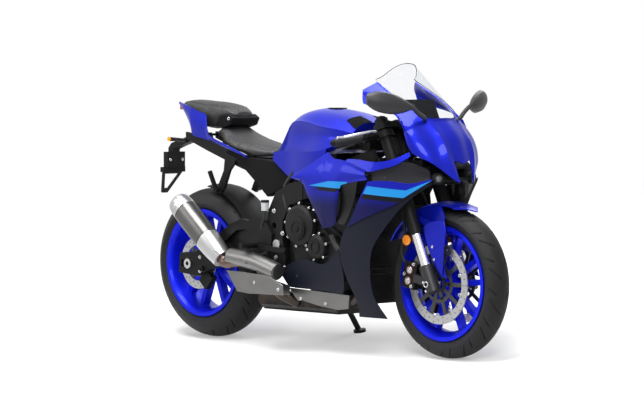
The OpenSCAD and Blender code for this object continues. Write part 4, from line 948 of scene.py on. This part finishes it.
@dataclass(frozen=True)
class Surface:
    """Outer surface of a CAD node, for pieces that lie on it."""

    tree: BVHTree

    @classmethod
    def of(cls, frame: dict[str, Any], node: str) -> "Surface":
        """Read a node's solid in millimetres of the upright machine."""
        bm = bmesh.new()
        bm.from_mesh(frame["nodes"][node].data)
        bmesh.ops.transform(bm, matrix=MACHINE.park().inverted(), verts=bm.verts)
        tree = BVHTree.FromBMesh(bm)
        bm.free()
        return cls(tree)

    def hit(self, start: Sequence[float], way: Sequence[float]) -> Optional[tuple[Vector, Vector]]:
        """Point and normal where a ray first meets the surface."""
        point, normal, _, _ = self.tree.ray_cast(Vector(start), Vector(way).normalized())
        return None if point is None else (point, normal)

    def side(self, x: float, z: float, left: bool = False) -> Optional[tuple[Vector, Vector]]:
        """Point and normal on the right or left flank."""
        sign = 1.0 if left else -1.0
        return self.hit((x, sign * 600.0, z), (0.0, -sign, 0.0))

    def top(self, x: float, y: float) -> Optional[tuple[Vector, Vector]]:
        """Point and normal seen from above."""
        return self.hit((x, y, 1500.0), (0.0, 0.0, -1.0))


@dataclass(frozen=True)
class Tyre:
    """Tyre lathed from the CAD section, with tread grooves cut into its crown."""

    node: str
    finish: Finish
    axle: Point
    width: float
    rim_width: float
    share: float
    bead: float = 216.05
    shoulder: float = 72.0
    across: int = 64
    around: int = 840
    pitches: int = 14
    depth: float = 5.0
    grooves: tuple[tuple[float, float, float, float, float], ...] = (
        (7.0, 58.0, 14.0, 1.15, 3.4), (30.0, 70.0, 74.0, 0.85, 2.9))

    @property
    def radius(self) -> float:
        """Outer radius: the tyre stands on the ground under its axle."""
        return self.axle[2]

    def section(self) -> list[tuple[float, float, float]]:
        """Radius, place across and distance from the crown of each point of the section."""
        seat = self.rim_width / 2 - 5.05
        rise = (self.radius - self.bead - 19) * self.share / (1 - math.cos(math.radians(self.shoulder)))
        edge = [(self.bead, seat), (self.bead + 13.05, seat + 1), (self.bead + 19, seat + 9)]
        crown: list[tuple[float, float, float]] = []
        for k in range(self.across + 1):
            turn = math.radians(self.shoulder * (2 * k / self.across - 1))
            crown.append((self.radius - rise * (1 - math.cos(turn)), self.width / 2 * math.sin(turn),
                          turn * self.width / 2 * 0.93))
        inner = [(self.bead + 9, seat - 10), (self.radius - 18, seat * 0.6), (self.radius - 12, 0.0),
                 (self.radius - 18, -seat * 0.6), (self.bead + 9, 10 - seat)]
        return ([(r, -y, math.inf) for r, y in edge] + crown + [(r, y, math.inf) for r, y in reversed(edge)]
                + [(r, y, math.inf) for r, y in inner])

    def sunk(self, along: float, across: float) -> float:
        """Depth of the tread at a place along and across the crown."""
        pitch = 2 * math.pi * self.radius / self.pitches
        away = abs(across)
        shift = pitch / 2 if across > 0 else 0.0
        deep = 0.0
        for start, end, begin, slant, half in self.grooves:
            reach = min(away - start, end - away)
            gap = (along + shift - begin - slant * away) % pitch
            gap = min(gap, pitch - gap) / math.hypot(1.0, slant)
            inside = min(1.0, max(0.0, (half - gap) / 1.2)) * min(1.0, max(0.0, reach / 3.0))
            deep = max(deep, inside)
        return deep * self.depth

    def build(self, frame: dict[str, Any]) -> None:
        """Spin the section, sink the grooves and let the tyre stand for its node."""
        bm = bmesh.new()
        place = bm.verts.layers.float.new("across")
        section = self.section()
        verts = [bm.verts.new((r, y, 0.0)) for r, y, _ in section]
        for vert, (_, _, away) in zip(verts, section):
            vert[place] = away
        edges = [bm.edges.new((verts[k - 1], verts[k])) for k in range(len(verts))]
        bmesh.ops.spin(bm, geom=verts + edges, cent=(0, 0, 0), axis=(0, 1, 0), angle=2 * math.pi,
                       steps=self.around, use_merge=True, use_duplicate=False)
        for vert in bm.verts:
            if math.isfinite(vert[place]):
                away = math.hypot(vert.co.x, vert.co.z)
                low = self.sunk(math.atan2(vert.co.z, vert.co.x) * self.radius, vert[place])
                vert.co.x *= 1 - low / away
                vert.co.z *= 1 - low / away
        bm.verts.layers.float.remove(place)
        bmesh.ops.recalc_face_normals(bm, faces=bm.faces)
        bmesh.ops.transform(bm, matrix=MACHINE.park() @ Matrix.Translation(self.axle), verts=bm.verts)
        shade(bm, math.radians(40))
        mesh = mesh_of(bm, self.node + "_tread")
        piece = link(self.node + "_tread", mesh, [self.finish])
        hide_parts(self.node)
        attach(piece, frame["nodes"][self.node]["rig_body"])
        log.info("%s: %d faces", self.node, len(mesh.polygons))


@dataclass(frozen=True)
class Pad:
    """Foam seat under a stretched cover, with a sunk seam and its stitches."""

    node: str
    fill: float
    seam: float
    voxel: float = 5.0
    shrink: float = 2.5
    pressure: float = 3.0
    cap: float = 5.0
    steps: int = 14
    stitch: float = 7.0
    bay: float = 20.0
    base: float = 8.0
    groove: float = 7.0
    sink: float = 2.6
    end_gap: float = 26.0
    thread: float = 0.8

    def swell(self, piece: bpy.types.Object, quick: bool) -> None:
        """Inflate the cover with a short cloth run, no point moving further than the cap."""
        if quick:
            return
        scene = bpy.context.scene
        rest = [vert.co.copy() for vert in piece.data.vertices]
        pinned = piece.vertex_groups.new(name="base")
        bays = [round(vert.co.x / (self.bay * MM)) for vert in piece.data.vertices]
        lowest: dict[int, float] = {}
        for key, vert in zip(bays, piece.data.vertices):
            lowest[key] = min(lowest.get(key, math.inf), vert.co.z)
        pinned.add([vert.index for key, vert in zip(bays, piece.data.vertices)
                    if vert.co.z < lowest[key] + self.base * MM], 1.0, "REPLACE")
        cloth = piece.modifiers.new("cloth", "CLOTH")
        cloth.settings.vertex_group_mass = "base"
        cloth.settings.use_pressure = True
        cloth.settings.uniform_pressure_force = self.pressure
        cloth.settings.effector_weights.gravity = 0.0
        cloth.point_cache.frame_end = self.steps
        for step in range(1, self.steps + 1):
            scene.frame_set(step)
        done = piece.evaluated_get(bpy.context.evaluated_depsgraph_get())
        moved = [vert.co.copy() for vert in done.data.vertices]
        piece.modifiers.remove(cloth)
        scene.frame_set(1)
        for vert, start, end in zip(piece.data.vertices, rest, moved):
            step = end - start
            vert.co = start + step * min(1.0, self.cap * MM / max(step.length, 1e-9))

    def build(self, frame: dict[str, Any]) -> None:
        """Remesh a slightly shrunk copy of the node, inflate it, sew it and let it stand for the node."""
        source = frame["nodes"][self.node]
        bm = bmesh.new()
        bm.from_mesh(source.data)
        bmesh.ops.remove_doubles(bm, verts=bm.verts, dist=1e-5)
        bm.normal_update()
        moves = [(vert, vert.normal * -self.shrink * MM) for vert in bm.verts]
        for vert, move in moves:
            vert.co += move
        piece = link(self.node + "_pad", mesh_of(bm, self.node + "_pad"), [COVER])
        remesh = piece.modifiers.new("remesh", "REMESH")
        remesh.mode = "VOXEL"
        remesh.voxel_size = self.voxel * MM
        smooth = piece.modifiers.new("even", "SMOOTH")
        smooth.iterations = 4
        done = piece.evaluated_get(bpy.context.evaluated_depsgraph_get())
        fresh = bpy.data.meshes.new_from_object(done)
        piece.modifiers.clear()
        piece.data = fresh
        self.swell(piece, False)
        self.sew(piece, source["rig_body"])
        for face in piece.data.polygons:
            face.use_smooth = True
        rounded = piece.modifiers.new("smooth", "SUBSURF")
        rounded.levels = rounded.render_levels = 1
        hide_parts(self.node)
        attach(piece, source["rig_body"])
        log.info("%s: %d faces", self.node, len(fresh.polygons))

    def sew(self, piece: bpy.types.Object, body: str) -> None:
        """Sink the seam that runs along both shoulders and lay stitches beside it."""
        back = MACHINE.park().inverted()
        spots = [back @ vert.co for vert in piece.data.vertices]
        half: dict[int, float] = {}
        for spot in spots:
            key = round(spot.x / self.bay)
            half[key] = max(half.get(key, 0.0), abs(spot.y))
        turn = back.to_3x3().normalized()
        for vert, spot in zip(piece.data.vertices, spots):
            up = (turn @ vert.normal).z
            width = half[round(spot.x / self.bay)]
            off = abs(abs(spot.y) - width * self.seam)
            if up > 0.1 and off < self.groove:
                vert.co -= vert.normal * (1 - off / self.groove) * self.sink * MM
        bm = bmesh.new()
        bm.from_mesh(piece.data)
        bmesh.ops.transform(bm, matrix=back, verts=bm.verts)
        skin = Surface(BVHTree.FromBMesh(bm))
        bm.free()
        thread = Sculpt()
        low = min(spot.x for spot in spots) + self.end_gap
        high = max(spot.x for spot in spots) - self.end_gap
        for sign in (-1.0, 1.0):
            x = low
            while x < high:
                ends = []
                for at in (x, x + self.stitch * 0.62):
                    found = skin.top(at, sign * (self.width_at(half, at) * self.seam - 5.0))
                    if found and found[1].z > 0.2:
                        ends.append(found[0] + found[1] * 0.5)
                if len(ends) == 2:
                    thread.tube(ends, self.thread, 5, 1)
                x += self.stitch
        thread.piece(self.node + "_stitches", Body(body), THREAD, 0.0)

    def width_at(self, half: dict[int, float], x: float) -> float:
        """Half width of the pad at a place along it."""
        low = math.floor(x / self.bay)
        share = x / self.bay - low
        first = half.get(low, half.get(low + 1, 0.0))
        return first * (1 - share) + half.get(low + 1, first) * share


RIGHT: Point = (0.0, -1.0, 0.0)
UP: Point = (0.0, 0.0, 1.0)


@dataclass(frozen=True)
class FrontEnd:
    """Hardware on the fork: caliper caps, guard panels and screws, hoses, fork caps and foot bolts."""

    leg_y: float = 105.0
    caliper_y: float = 101.0
    cap: float = 15.0
    guard_in: float = 93.5
    guard_y: float = 98.0

    def dress(self) -> None:
        """Add every piece that turns with the bars."""
        self.calipers()
        self.guards()
        self.hoses()
        self.clamps()

    def calipers(self) -> None:
        """Piston caps, a coloured ring on each, and bolts."""
        caps, rings, bolts = Sculpt(), Sculpt(), Sculpt()
        for x, z in ((1279.0, 349.0), (1268.0, 306.0)):
            caps.disc((x, -self.caliper_y + 0.5, z), RIGHT, self.cap, 5.0, 32, self.cap - 2)
            caps.ring((x, -self.caliper_y - 4.0, z), RIGHT, 4.0, 7.0, 2.0, 24)
            rings.ring((x, -self.caliper_y + 0.5, z), RIGHT, self.cap + 0.3, self.cap + 2.4, 2.4, 32)
        for x, z in ((1300.0, 372.0), (1285.0, 284.0), (1246.0, 332.0)):
            bolts.bolt((x, -self.caliper_y + 0.4, z), RIGHT, 5.5)
        caps.mirrored().piece("caliper_caps", Body.FRONT, BRIGHT, 0.8)
        rings.mirrored().piece("caliper_rings", Body.FRONT, RUST, 0.3)
        bolts.mirrored().piece("caliper_bolts", Body.FRONT, BRIGHT, 0.4)

    def guards(self) -> None:
        """Outer panel of each fork guard, with two sunk screws."""
        cups, heads, panel = Sculpt(), Sculpt(), Sculpt()
        panel.slab([(1347.0, 518.0), (1371.0, 538.0), (1420.0, 550.0), (1464.0, 552.0), (1475.0, 515.0),
                    (1464.0, 436.0), (1455.0, 330.0), (1420.0, 364.0), (1376.0, 440.0)],
                   -self.guard_in, -self.guard_y)
        panel.mirrored().piece("guard_panels", Body.FRONT, BLUE, 2.0)
        for x, z in ((1402.0, 445.0), (1412.0, 396.0)):
            cups.ring((x, -self.guard_y + 0.4, z), RIGHT, 5.6, 10.0, 1.6, 32)
            heads.screw((x, -self.guard_y + 0.4, z), RIGHT, 5.4)
        cups.mirrored().piece("guard_cups", Body.FRONT, BLUE, 0.5)
        heads.mirrored().piece("guard_screws", Body.FRONT, BRIGHT, 0.4)

    def hoses(self) -> None:
        """Brake hose from each caliper up the leg to the lower clamp."""
        hose = Sculpt()
        hose.tube([(1250.0, -90.0, 366.0), (1226.0, -96.0, 420.0), (1232.0, -84.0, 500.0),
                   (1206.0, -70.0, 600.0), (1176.0, -40.0, 690.0), (1170.0, -12.0, 730.0)], 5.0, 10)
        hose.mirrored().piece("brake_hoses", Body.FRONT, HOSE, 0.0)

    def clamps(self) -> None:
        """Fork caps, stem nut and foot bolts, in the frame of the steering axis."""
        x, _, z = MACHINE.front_axle
        rake = math.radians(MACHINE.rake)
        offset = z * math.sin(rake) - (MACHINE.steer_x - x) * math.cos(rake)
        caps = Sculpt()
        caps.disc((offset, -self.leg_y, 1019.0), UP, 22.0, 8.0, 32, 20.0)
        caps.disc((offset, -self.leg_y, 1026.0), UP, 11.0, 6.0, 6)
        caps.mirrored().disc((0.0, 0.0, 1013.0), UP, 17.0, 12.0, 6, 16.0)
        caps.steered().piece("fork_caps", Body.FRONT, BLACK_METAL, 0.8)
        feet = Sculpt()
        for up in (294.0, 330.0):
            feet.bolt((offset - 20.0, -self.leg_y - 21.0, up), (-0.5, -0.85, 0.0), 5.0)
        feet.mirrored().steered().piece("fork_foot_bolts", Body.FRONT, BRIGHT, 0.4)


@dataclass(frozen=True)
class Wheels:
    """Buttons and bolts of the front discs."""

    buttons: int = 10
    button_away: float = 123.0
    bolts: int = 5
    bolt_away: float = 60.0
    bite: float = 0.3

    def dress(self, frame: dict[str, Any]) -> None:
        """Add what turns with the front wheel."""
        back = MACHINE.park().inverted()
        outer = max(abs((back @ vert.co).y) for vert in frame["nodes"]["front_discs"].data.vertices)
        x, _, z = MACHINE.front_axle
        y = -outer + self.bite
        buttons, bolts = Sculpt(), Sculpt()
        for k in range(self.buttons):
            turn = math.radians(360 / self.buttons * (k + 0.5))
            place = (x + self.button_away * math.cos(turn), y, z + self.button_away * math.sin(turn))
            buttons.ring(place, RIGHT, 3.0, 7.0, 2.0, 20)
        for k in range(self.bolts):
            turn = math.radians(360 / self.bolts * k)
            place = (x + self.bolt_away * math.cos(turn), y, z + self.bolt_away * math.sin(turn))
            bolts.bolt(place, RIGHT, 5.0)
        buttons.mirrored().piece("disc_buttons", Body.FRONT_WHEEL, BRIGHT, 0.3)
        bolts.mirrored().piece("disc_bolts", Body.FRONT_WHEEL, BLACK_METAL, 0.3)


@dataclass(frozen=True)
class Powertrain:
    """Screws round the engine covers, plugs, hoses, rear brake reservoir and frame bolts."""

    covers: tuple[tuple[float, float, float, int], ...] = ((716.0, 508.0, 82.0, 9), (814.0, 424.0, 50.0, 6))
    boss_y: float = -152.0
    boss_end: float = -173.6

    def dress(self) -> None:
        """Add the engine's hardware."""
        bolts, rings, hoses = Sculpt(), Sculpt(), Sculpt()
        for x, z, radius, count in self.covers:
            for k in range(count):
                turn = math.radians(360 / count * k + 14)
                across, up = x + (radius + 7) * math.cos(turn), z + (radius + 7) * math.sin(turn)
                bolts.disc((across, self.boss_y, up), RIGHT, 6.6, 22.0, 16, 5.8)
                bolts.bolt((across, self.boss_end, up), RIGHT, 3.4)
        rings.ring((722.0, -197.8, 494.0), RIGHT, 26.0, 38.0, 3.0, 40)
        rings.disc((722.0, -197.8, 494.0), RIGHT, 13.0, 5.0, 6)
        rings.ring((814.0, -183.8, 424.0), RIGHT, 18.0, 30.0, 4.0, 40)
        hoses.tube([(640.0, -150.0, 540.0), (610.0, -158.0, 600.0), (600.0, -150.0, 660.0),
                    (640.0, -140.0, 720.0)], 8.0)
        hoses.tube([(880.0, -150.0, 470.0), (930.0, -160.0, 420.0), (1000.0, -165.0, 400.0),
                    (1056.0, -170.0, 420.0)], 13.0)
        bolts.piece("engine_bolts", Body.CHASSIS, BRIGHT, 0.4)
        rings.piece("engine_plugs", Body.CHASSIS, BLACK_METAL, 0.8)
        hoses.piece("engine_hoses", Body.CHASSIS, HOSE, 0.0)
        self.rear()

    def rear(self) -> None:
        """Brake reservoir with its hose, frame and swingarm bolts."""
        cup, cap, hose, bolts = Sculpt(), Sculpt(), Sculpt(), Sculpt()
        cup.disc((507.0, -176.0, 560.0), UP, 15.0, 34.0, 32, 17.0)
        cap.disc((507.0, -176.0, 594.0), UP, 18.0, 10.0, 32, 17.0)
        cap.block(Matrix.Translation((507.0, -166.0, 580.0)), (14.0, 12.0, 20.0))
        hose.tube([(507.0, -176.0, 562.0), (504.0, -178.0, 530.0), (488.0, -176.0, 500.0),
                   (478.0, -170.0, 470.0)], 4.5)
        for x, z in ((548.0, 560.0), (600.0, 470.0), (560.0, 370.0), (610.0, 330.0)):
            bolts.bolt((x, -163.0, z), RIGHT, 7.0)
        for x, z in ((70.0, 348.0), (70.0, 288.0)):
            bolts.bolt((x, -152.0, z), RIGHT, 6.0)
        cup.piece("brake_reservoir", Body.CHASSIS, CUP, 0.6)
        cap.piece("reservoir_cap", Body.CHASSIS, BLACK_PLASTIC, 1.0)
        hose.piece("reservoir_hose", Body.CHASSIS, HOSE, 0.0)
        bolts.mirrored().piece("frame_bolts", Body.CHASSIS, BRIGHT, 0.4)


@dataclass(frozen=True)
class Bodywork:
    """Trim and fasteners on the fairing, tank and tail, and the black linings behind them."""

    lamp: Point = (1418.0, -92.0, 714.0)
    lamp_turn: float = 20.0
    dash: Point = (1250.0, 0.0, 930.0)
    dash_tilt: float = 24.0
    mirror_in: Point = (1352.0, -160.0, 994.0)
    mirror_out: Point = (1269.0, -330.0, 1026.0)
    glass_rings: int = 6
    glass_sides: int = 32
    glass_long: float = 62.0
    glass_high: float = 27.0
    trim_start: Point = (926.0, -34.0, 1.4)
    trim_long: float = 72.0
    trim_wide: float = 96.0
    trim_taper: float = 20.0
    trim_rib: float = 1.6

    def dress(self, frame: dict[str, Any]) -> None:
        """Add every piece."""
        self.fasteners(frame)
        self.linings()
        self.lamps()
        self.mirrors(frame)
        self.display()
        self.tank_trim(frame)
        self.tail()

    def fasteners(self, frame: dict[str, Any]) -> None:
        """Quarter-turn fasteners pressed into the panels where a ray from the side meets them."""
        heads = Sculpt()
        for node, x, z in (("side_fairings", 759.0, 692.0), ("side_ducts", 976.0, 529.0),
                           ("lower_fairings", 947.0, 442.0), ("lower_fairings", 700.0, 300.0),
                           ("side_ducts", 1240.0, 716.0)):
            skin = Surface.of(frame, node)
            for left in (False, True):
                found = skin.side(x, z, left)
                if found:
                    heads.screw(found[0] - found[1] * 0.6, found[1], 6.0)
        heads.piece("panel_fasteners", Body.CHASSIS, GREY_PLASTIC, 0.4)

    def linings(self) -> None:
        """Dull panels that close the view behind the tank, the bars and the radiator."""
        panel = Sculpt()
        panel.block(Matrix.Translation((1028.0, 0.0, 848.0)), (50.0, 206.0, 64.0))
        panel.piece("cockpit_lining", Body.CHASSIS, LINING, 3.0)
        nose = Sculpt().block(Matrix.Translation((1368.0, 0.0, 726.0)), (12.0, 172.0, 78.0))
        nose.block(Matrix.Translation((1350.0, 0.0, 812.0)), (10.0, 210.0, 110.0))
        nose.piece("nose_lining", Body.CHASSIS, LINING, 2.0)
        boxes = Sculpt()
        boxes.slab([(176.0, 800.0), (228.0, 764.0), (306.0, 718.0), (372.0, 668.0), (440.0, 612.0),
                    (506.0, 640.0), (560.0, 668.0), (640.0, 712.0), (640.0, 742.0), (440.0, 768.0),
                    (320.0, 776.0)], -104.0, -70.0)
        boxes.mirrored().piece("under_seat_boxes", Body.CHASSIS, LINING, 5.0)
        shroud = Sculpt()
        shroud.block(Matrix.Translation((1124.0, 0.0, 642.0)) @ Matrix.Rotation(math.radians(-8), 4, "Y"),
                     (8.0, 330.0, 92.0))
        shroud.piece("radiator_shroud", Body.CHASSIS, LINING, 2.0)

    def lamps(self) -> None:
        """Bezel and inner lens of each lamp."""
        axis = Vector((math.cos(math.radians(self.lamp_turn)), -math.sin(math.radians(self.lamp_turn)), 0.0))
        bezel, eye = Sculpt(), Sculpt()
        front = Vector(self.lamp) + axis * 20.6
        bezel.ring(front, axis, 13.5, 19.0, 2.4, 40)
        eye.disc(front, axis, 9.5, 3.2, 32, 6.0)
        bezel.mirrored().piece("lamp_bezels", Body.CHASSIS, BLACK_METAL, 0.6)
        eye.mirrored().piece("lamp_eyes", Body.CHASSIS, LENS, 0.8)

    def mirrors(self, frame: dict[str, Any]) -> None:
        """Glass on the rear of each mirror, pressed onto the housing from behind."""
        skin = Surface.of(frame, "mirrors")
        along = (Vector(self.mirror_out) - Vector(self.mirror_in)).normalized()
        ahead = Vector(UP).cross(along).normalized()
        rise = ahead.cross(along).normalized()
        middle = Vector(self.mirror_in).lerp(Vector(self.mirror_out), 0.58)
        rings = []
        for ring in range(1, self.glass_rings + 1):
            row = []
            for k in range(self.glass_sides):
                turn = 2 * math.pi * k / self.glass_sides
                away = along * self.glass_long * math.cos(turn) + rise * self.glass_high * math.sin(turn)
                spot = middle + away * (ring / self.glass_rings)
                found = skin.hit(spot - ahead * 150.0, ahead)
                row.append((found[0] if found else spot) - ahead * 1.2)
            rings.append(row)
        Sculpt().sheet(rings, 1.6, closed=True).mirrored().piece("mirror_glass", Body.CHASSIS, GLASS, 0.0)

    def display(self) -> None:
        """Flat display in the dash, with a raised frame."""
        tilt = Matrix.Translation(self.dash) @ Matrix.Rotation(-math.radians(self.dash_tilt), 4, "Y")
        glass, frame = Sculpt(), Sculpt()
        glass.block(tilt @ Matrix.Translation((-1.0, 0.0, 48.0)), (2.0, 128.0, 70.0))
        for y in (-70.0, 70.0):
            frame.block(tilt @ Matrix.Translation((-2.0, y, 48.0)), (5.0, 10.0, 86.0))
        for z in (8.0, 88.0):
            frame.block(tilt @ Matrix.Translation((-2.0, 0.0, z)), (5.0, 150.0, 8.0))
        glass.piece("dash_display", Body.CHASSIS, DISPLAY, 0.4)
        frame.piece("dash_frame", Body.CHASSIS, BLACK_PLASTIC, 1.2)

    def tank_trim(self, frame: dict[str, Any]) -> None:
        """Ribbed black cover on each front shoulder of the tank."""
        skin = Surface.of(frame, "fuel_tank")
        start_x, start_y, lift = self.trim_start
        rows = []
        for j in range(9):
            row = []
            for k in range(11):
                wide = self.trim_wide - self.trim_taper * (1 - k / 10)
                spot, normal = skin.top(start_x + self.trim_long * k / 10, start_y - wide * j / 8)
                rib = self.trim_rib if k % 3 == 1 and 0 < j < 8 else 0.0
                row.append(spot + normal * (lift + rib))
            rows.append(row)
        Sculpt().sheet(rows, 2.2).mirrored().piece("tank_trim", Body.CHASSIS, LINING, 0.0)

    def tail(self) -> None:
        """Lock housing under the pillion seat, its key ring and the plate bracket's screws."""
        lock, key, screws = Sculpt(), Sculpt(), Sculpt()
        lock.slab([(96.0, 900.0), (112.0, 944.0), (170.0, 952.0), (196.0, 936.0), (180.0, 906.0),
                   (136.0, 894.0)], -78.0, 78.0)
        key.ring((172.0, -77.8, 934.0), RIGHT, 3.4, 7.5, 3.0, 28)
        for y in (-34.0, 34.0):
            screws.bolt((-260.0 + 0.4, y, 750.0), (1.0, 0.0, 0.0), 5.0)
        lock.piece("lock_housing", Body.CHASSIS, LINING, 4.0)
        key.piece("lock_ring", Body.CHASSIS, BRIGHT, 0.5)
        screws.piece("bracket_screws", Body.CHASSIS, BRIGHT, 0.4)


@dataclass(frozen=True)
class Exhaust:
    """Outlet ring, link cover and shield screws."""

    ring_in: float = 27.0
    ring_out: float = 33.0
    ring_long: float = 5.0
    ring_lead: float = 1.2

    def dress(self) -> None:
        """Add the outlet ring, the cover of the link pipe and the screws."""
        ring, screws = Sculpt(), Sculpt()
        lip = Vector(MACHINE.outlet) - Vector(MACHINE.outlet_run) * self.ring_lead
        ring.ring(lip, MACHINE.outlet_run, self.ring_in, self.ring_out, self.ring_long, 40)
        for x, y, z in ((294.0, -262.0, 386.0), (30.0, -258.0, 566.0), (520.0, -245.8, 268.0),
                        (664.0, -245.8, 246.0), (720.0, -171.8, 208.0), (868.0, -171.8, 196.0)):
            screws.screw((x, y, z), RIGHT, 7.0)
        cover = Sculpt().disc((624.0, -214.0, 314.5), (140.0, 0.0, -36.0), 33.0, 3.0, 40, 31.0)
        cover.slab([(462.0, 306.0), (600.0, 300.0), (690.0, 264.0), (695.0, 224.0), (560.0, 222.0),
                    (470.0, 240.0)], -242.0, -246.0)
        cover.piece("link_cover", Body.CHASSIS, TITANIUM, 1.5)
        ring.piece("outlet_ring", Body.CHASSIS, BLACK_METAL, 0.6)
        screws.piece("shield_screws", Body.CHASSIS, BRIGHT, 0.5)


@dataclass(frozen=True)
class Lamp:
    """Round soft lamp, in metres and watts, aimed at the middle of the machine."""

    name: str
    place: Point
    size: float
    power: float
    aim: Point = (0.0, 0.0, 0.5)

    def build(self) -> None:
        """Add the lamp to the scene."""
        lamp = bpy.data.objects.new(self.name, bpy.data.lights.new(self.name, "AREA"))
        lamp.data.shape = "DISK"
        lamp.data.size = self.size
        lamp.data.energy = self.power
        turn = (Vector(self.aim) - Vector(self.place)).to_track_quat("-Z", "Y")
        lamp.matrix_world = Matrix.Translation(self.place) @ turn.to_matrix().to_4x4()
        bpy.context.scene.collection.objects.link(lamp)


@dataclass(frozen=True)
class Studio:
    """Floor, soft lamps and the camera of the photograph."""

    lamps: tuple[Lamp, ...] = (
        Lamp("top", (0.1, -0.7, 4.0), 3.2, 330.0), Lamp("key", (3.0, -2.2, 2.8), 1.8, 85.0),
        Lamp("fill", (-2.4, -2.6, 2.4), 1.8, 26.0), Lamp("rim", (-0.6, 3.0, 3.0), 2.0, 50.0))
    ambient: float = 0.25
    floor_glow: float = 0.35
    glow_near: float = 1.3
    glow_far: float = 3.4
    azimuth: float = 46.746
    elevation: float = 2.871
    distance: float = 13055.5
    target: Point = (700.0, 0.0, 520.0)
    focal_px: float = 3173.38
    centre_px: tuple[float, float] = (328.20, 220.63)
    frame_px: tuple[float, float] = (644.0, 402.0)
    sensor: float = 36.0

    def camera(self) -> None:
        """Place the camera, aimed so that the photograph's centre needs no shift."""
        a, e = math.radians(self.azimuth), math.radians(self.elevation)
        back = Vector((math.sin(a) * math.cos(e), -math.cos(a) * math.cos(e), math.sin(e)))
        right = Vector((math.cos(a), math.sin(a), 0))
        up = back.cross(right)
        stand = Vector(self.target) + back * self.distance
        across = (self.frame_px[0] / 2 - self.centre_px[0]) / self.focal_px
        rise = (self.centre_px[1] - self.frame_px[1] / 2) / self.focal_px
        back = (back - right * across - up * rise).normalized()
        right = Vector((0, 0, 1)).cross(back).normalized()
        up = back.cross(right)
        turn = Matrix((right, up, back)).transposed().to_4x4()
        park = MACHINE.park()
        eye = bpy.data.objects.new("camera", bpy.data.cameras.new("camera"))
        eye.data.sensor_fit = "HORIZONTAL"
        eye.data.sensor_width = self.sensor
        eye.data.lens = self.focal_px * self.sensor / self.frame_px[0]
        eye.data.clip_end = 100.0
        eye.matrix_world = Matrix.Translation(park @ stand) @ park.to_3x3().normalized().to_4x4() @ turn
        bpy.context.scene.collection.objects.link(eye)
        bpy.context.scene.camera = eye

    def floor(self) -> None:
        """Pale floor that keeps a soft shadow."""
        bm = bmesh.new()
        bmesh.ops.create_grid(bm, x_segments=1, y_segments=1, size=40.0)
        floor = bpy.data.objects.new("floor", mesh_of(bm, "floor"))
        bpy.context.scene.collection.objects.link(floor)
        graph = Graph(bpy.data.materials.new("pale_floor"))
        seen = self.seen(graph)
        x, y, _ = graph.axes(graph.node("ShaderNodeTexCoord", {}, {}, "Object"))
        far = (x * x + y * y).math("SQRT").over(self.glow_near, self.glow_far)
        tone = graph.mix(graph.noise(graph.place(), 3.0), (0.92, 0.92, 0.92), (0.94, 0.94, 0.94))
        matt = graph.node("ShaderNodeBsdfDiffuse", {}, {"Color": tone})
        glow = graph.node("ShaderNodeEmission", {}, {"Color": (1.0, 1.0, 1.0, 1.0), "Strength": 1.0})
        share = seen * (far * (1 - self.floor_glow) + self.floor_glow)
        both = graph.node("ShaderNodeMixShader", {}, {0: share, 1: matt, 2: glow})
        floor.data.materials.append(graph.surface(both))

    @staticmethod
    def seen(graph: Graph) -> Sock:
        """1 for rays that show the background, 0 for those that light the machine."""
        path = graph.node("ShaderNodeLightPath", {}, {}, "Is Camera Ray")
        outs = path.socket.node.outputs
        found = path
        for name in ("Is Glossy Ray", "Is Transmission Ray"):
            found = found.math("MAXIMUM", Sock(graph, outs[name]))
        return found

    def light(self) -> None:
        """White surroundings and four soft lamps."""
        world = bpy.data.worlds.new("studio")
        graph = Graph(world)
        strength = self.seen(graph) * (1 - self.ambient) + self.ambient
        shine = graph.node("ShaderNodeBackground", {}, {"Color": (1.0, 1.0, 1.0, 1.0), "Strength": strength})
        graph.node("ShaderNodeOutputWorld", {}, {"Surface": shine})
        bpy.context.scene.world = world
        for lamp in self.lamps:
            lamp.build()

    def build(self) -> None:
        """Set up the whole studio."""
        bpy.context.scene.view_settings.view_transform = "Standard"
        self.camera()
        self.floor()
        self.light()


def main() -> None:
    """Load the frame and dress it."""
    logging.basicConfig(level=logging.INFO, format="%(message)s")
    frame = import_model()
    Studio().build()
    for skin in SKINS:
        skin.build(frame)
    Tyre("front_tyre", FRONT_TYRE, MACHINE.front_axle, width=120.0, rim_width=89.0, share=0.65).build(frame)
    Tyre("rear_tyre", REAR_TYRE, MACHINE.rear_axle, width=190.0, rim_width=152.0, share=0.79).build(frame)
    Pad("seat", fill=0.7, seam=0.80).build(frame)
    Pad("pillion_seat", fill=0.75, seam=0.76).build(frame)
    FrontEnd().dress()
    Wheels().dress(frame)
    Powertrain().dress()
    Bodywork().dress(frame)
    Exhaust().dress()


if __name__ == "__main__":
    main()
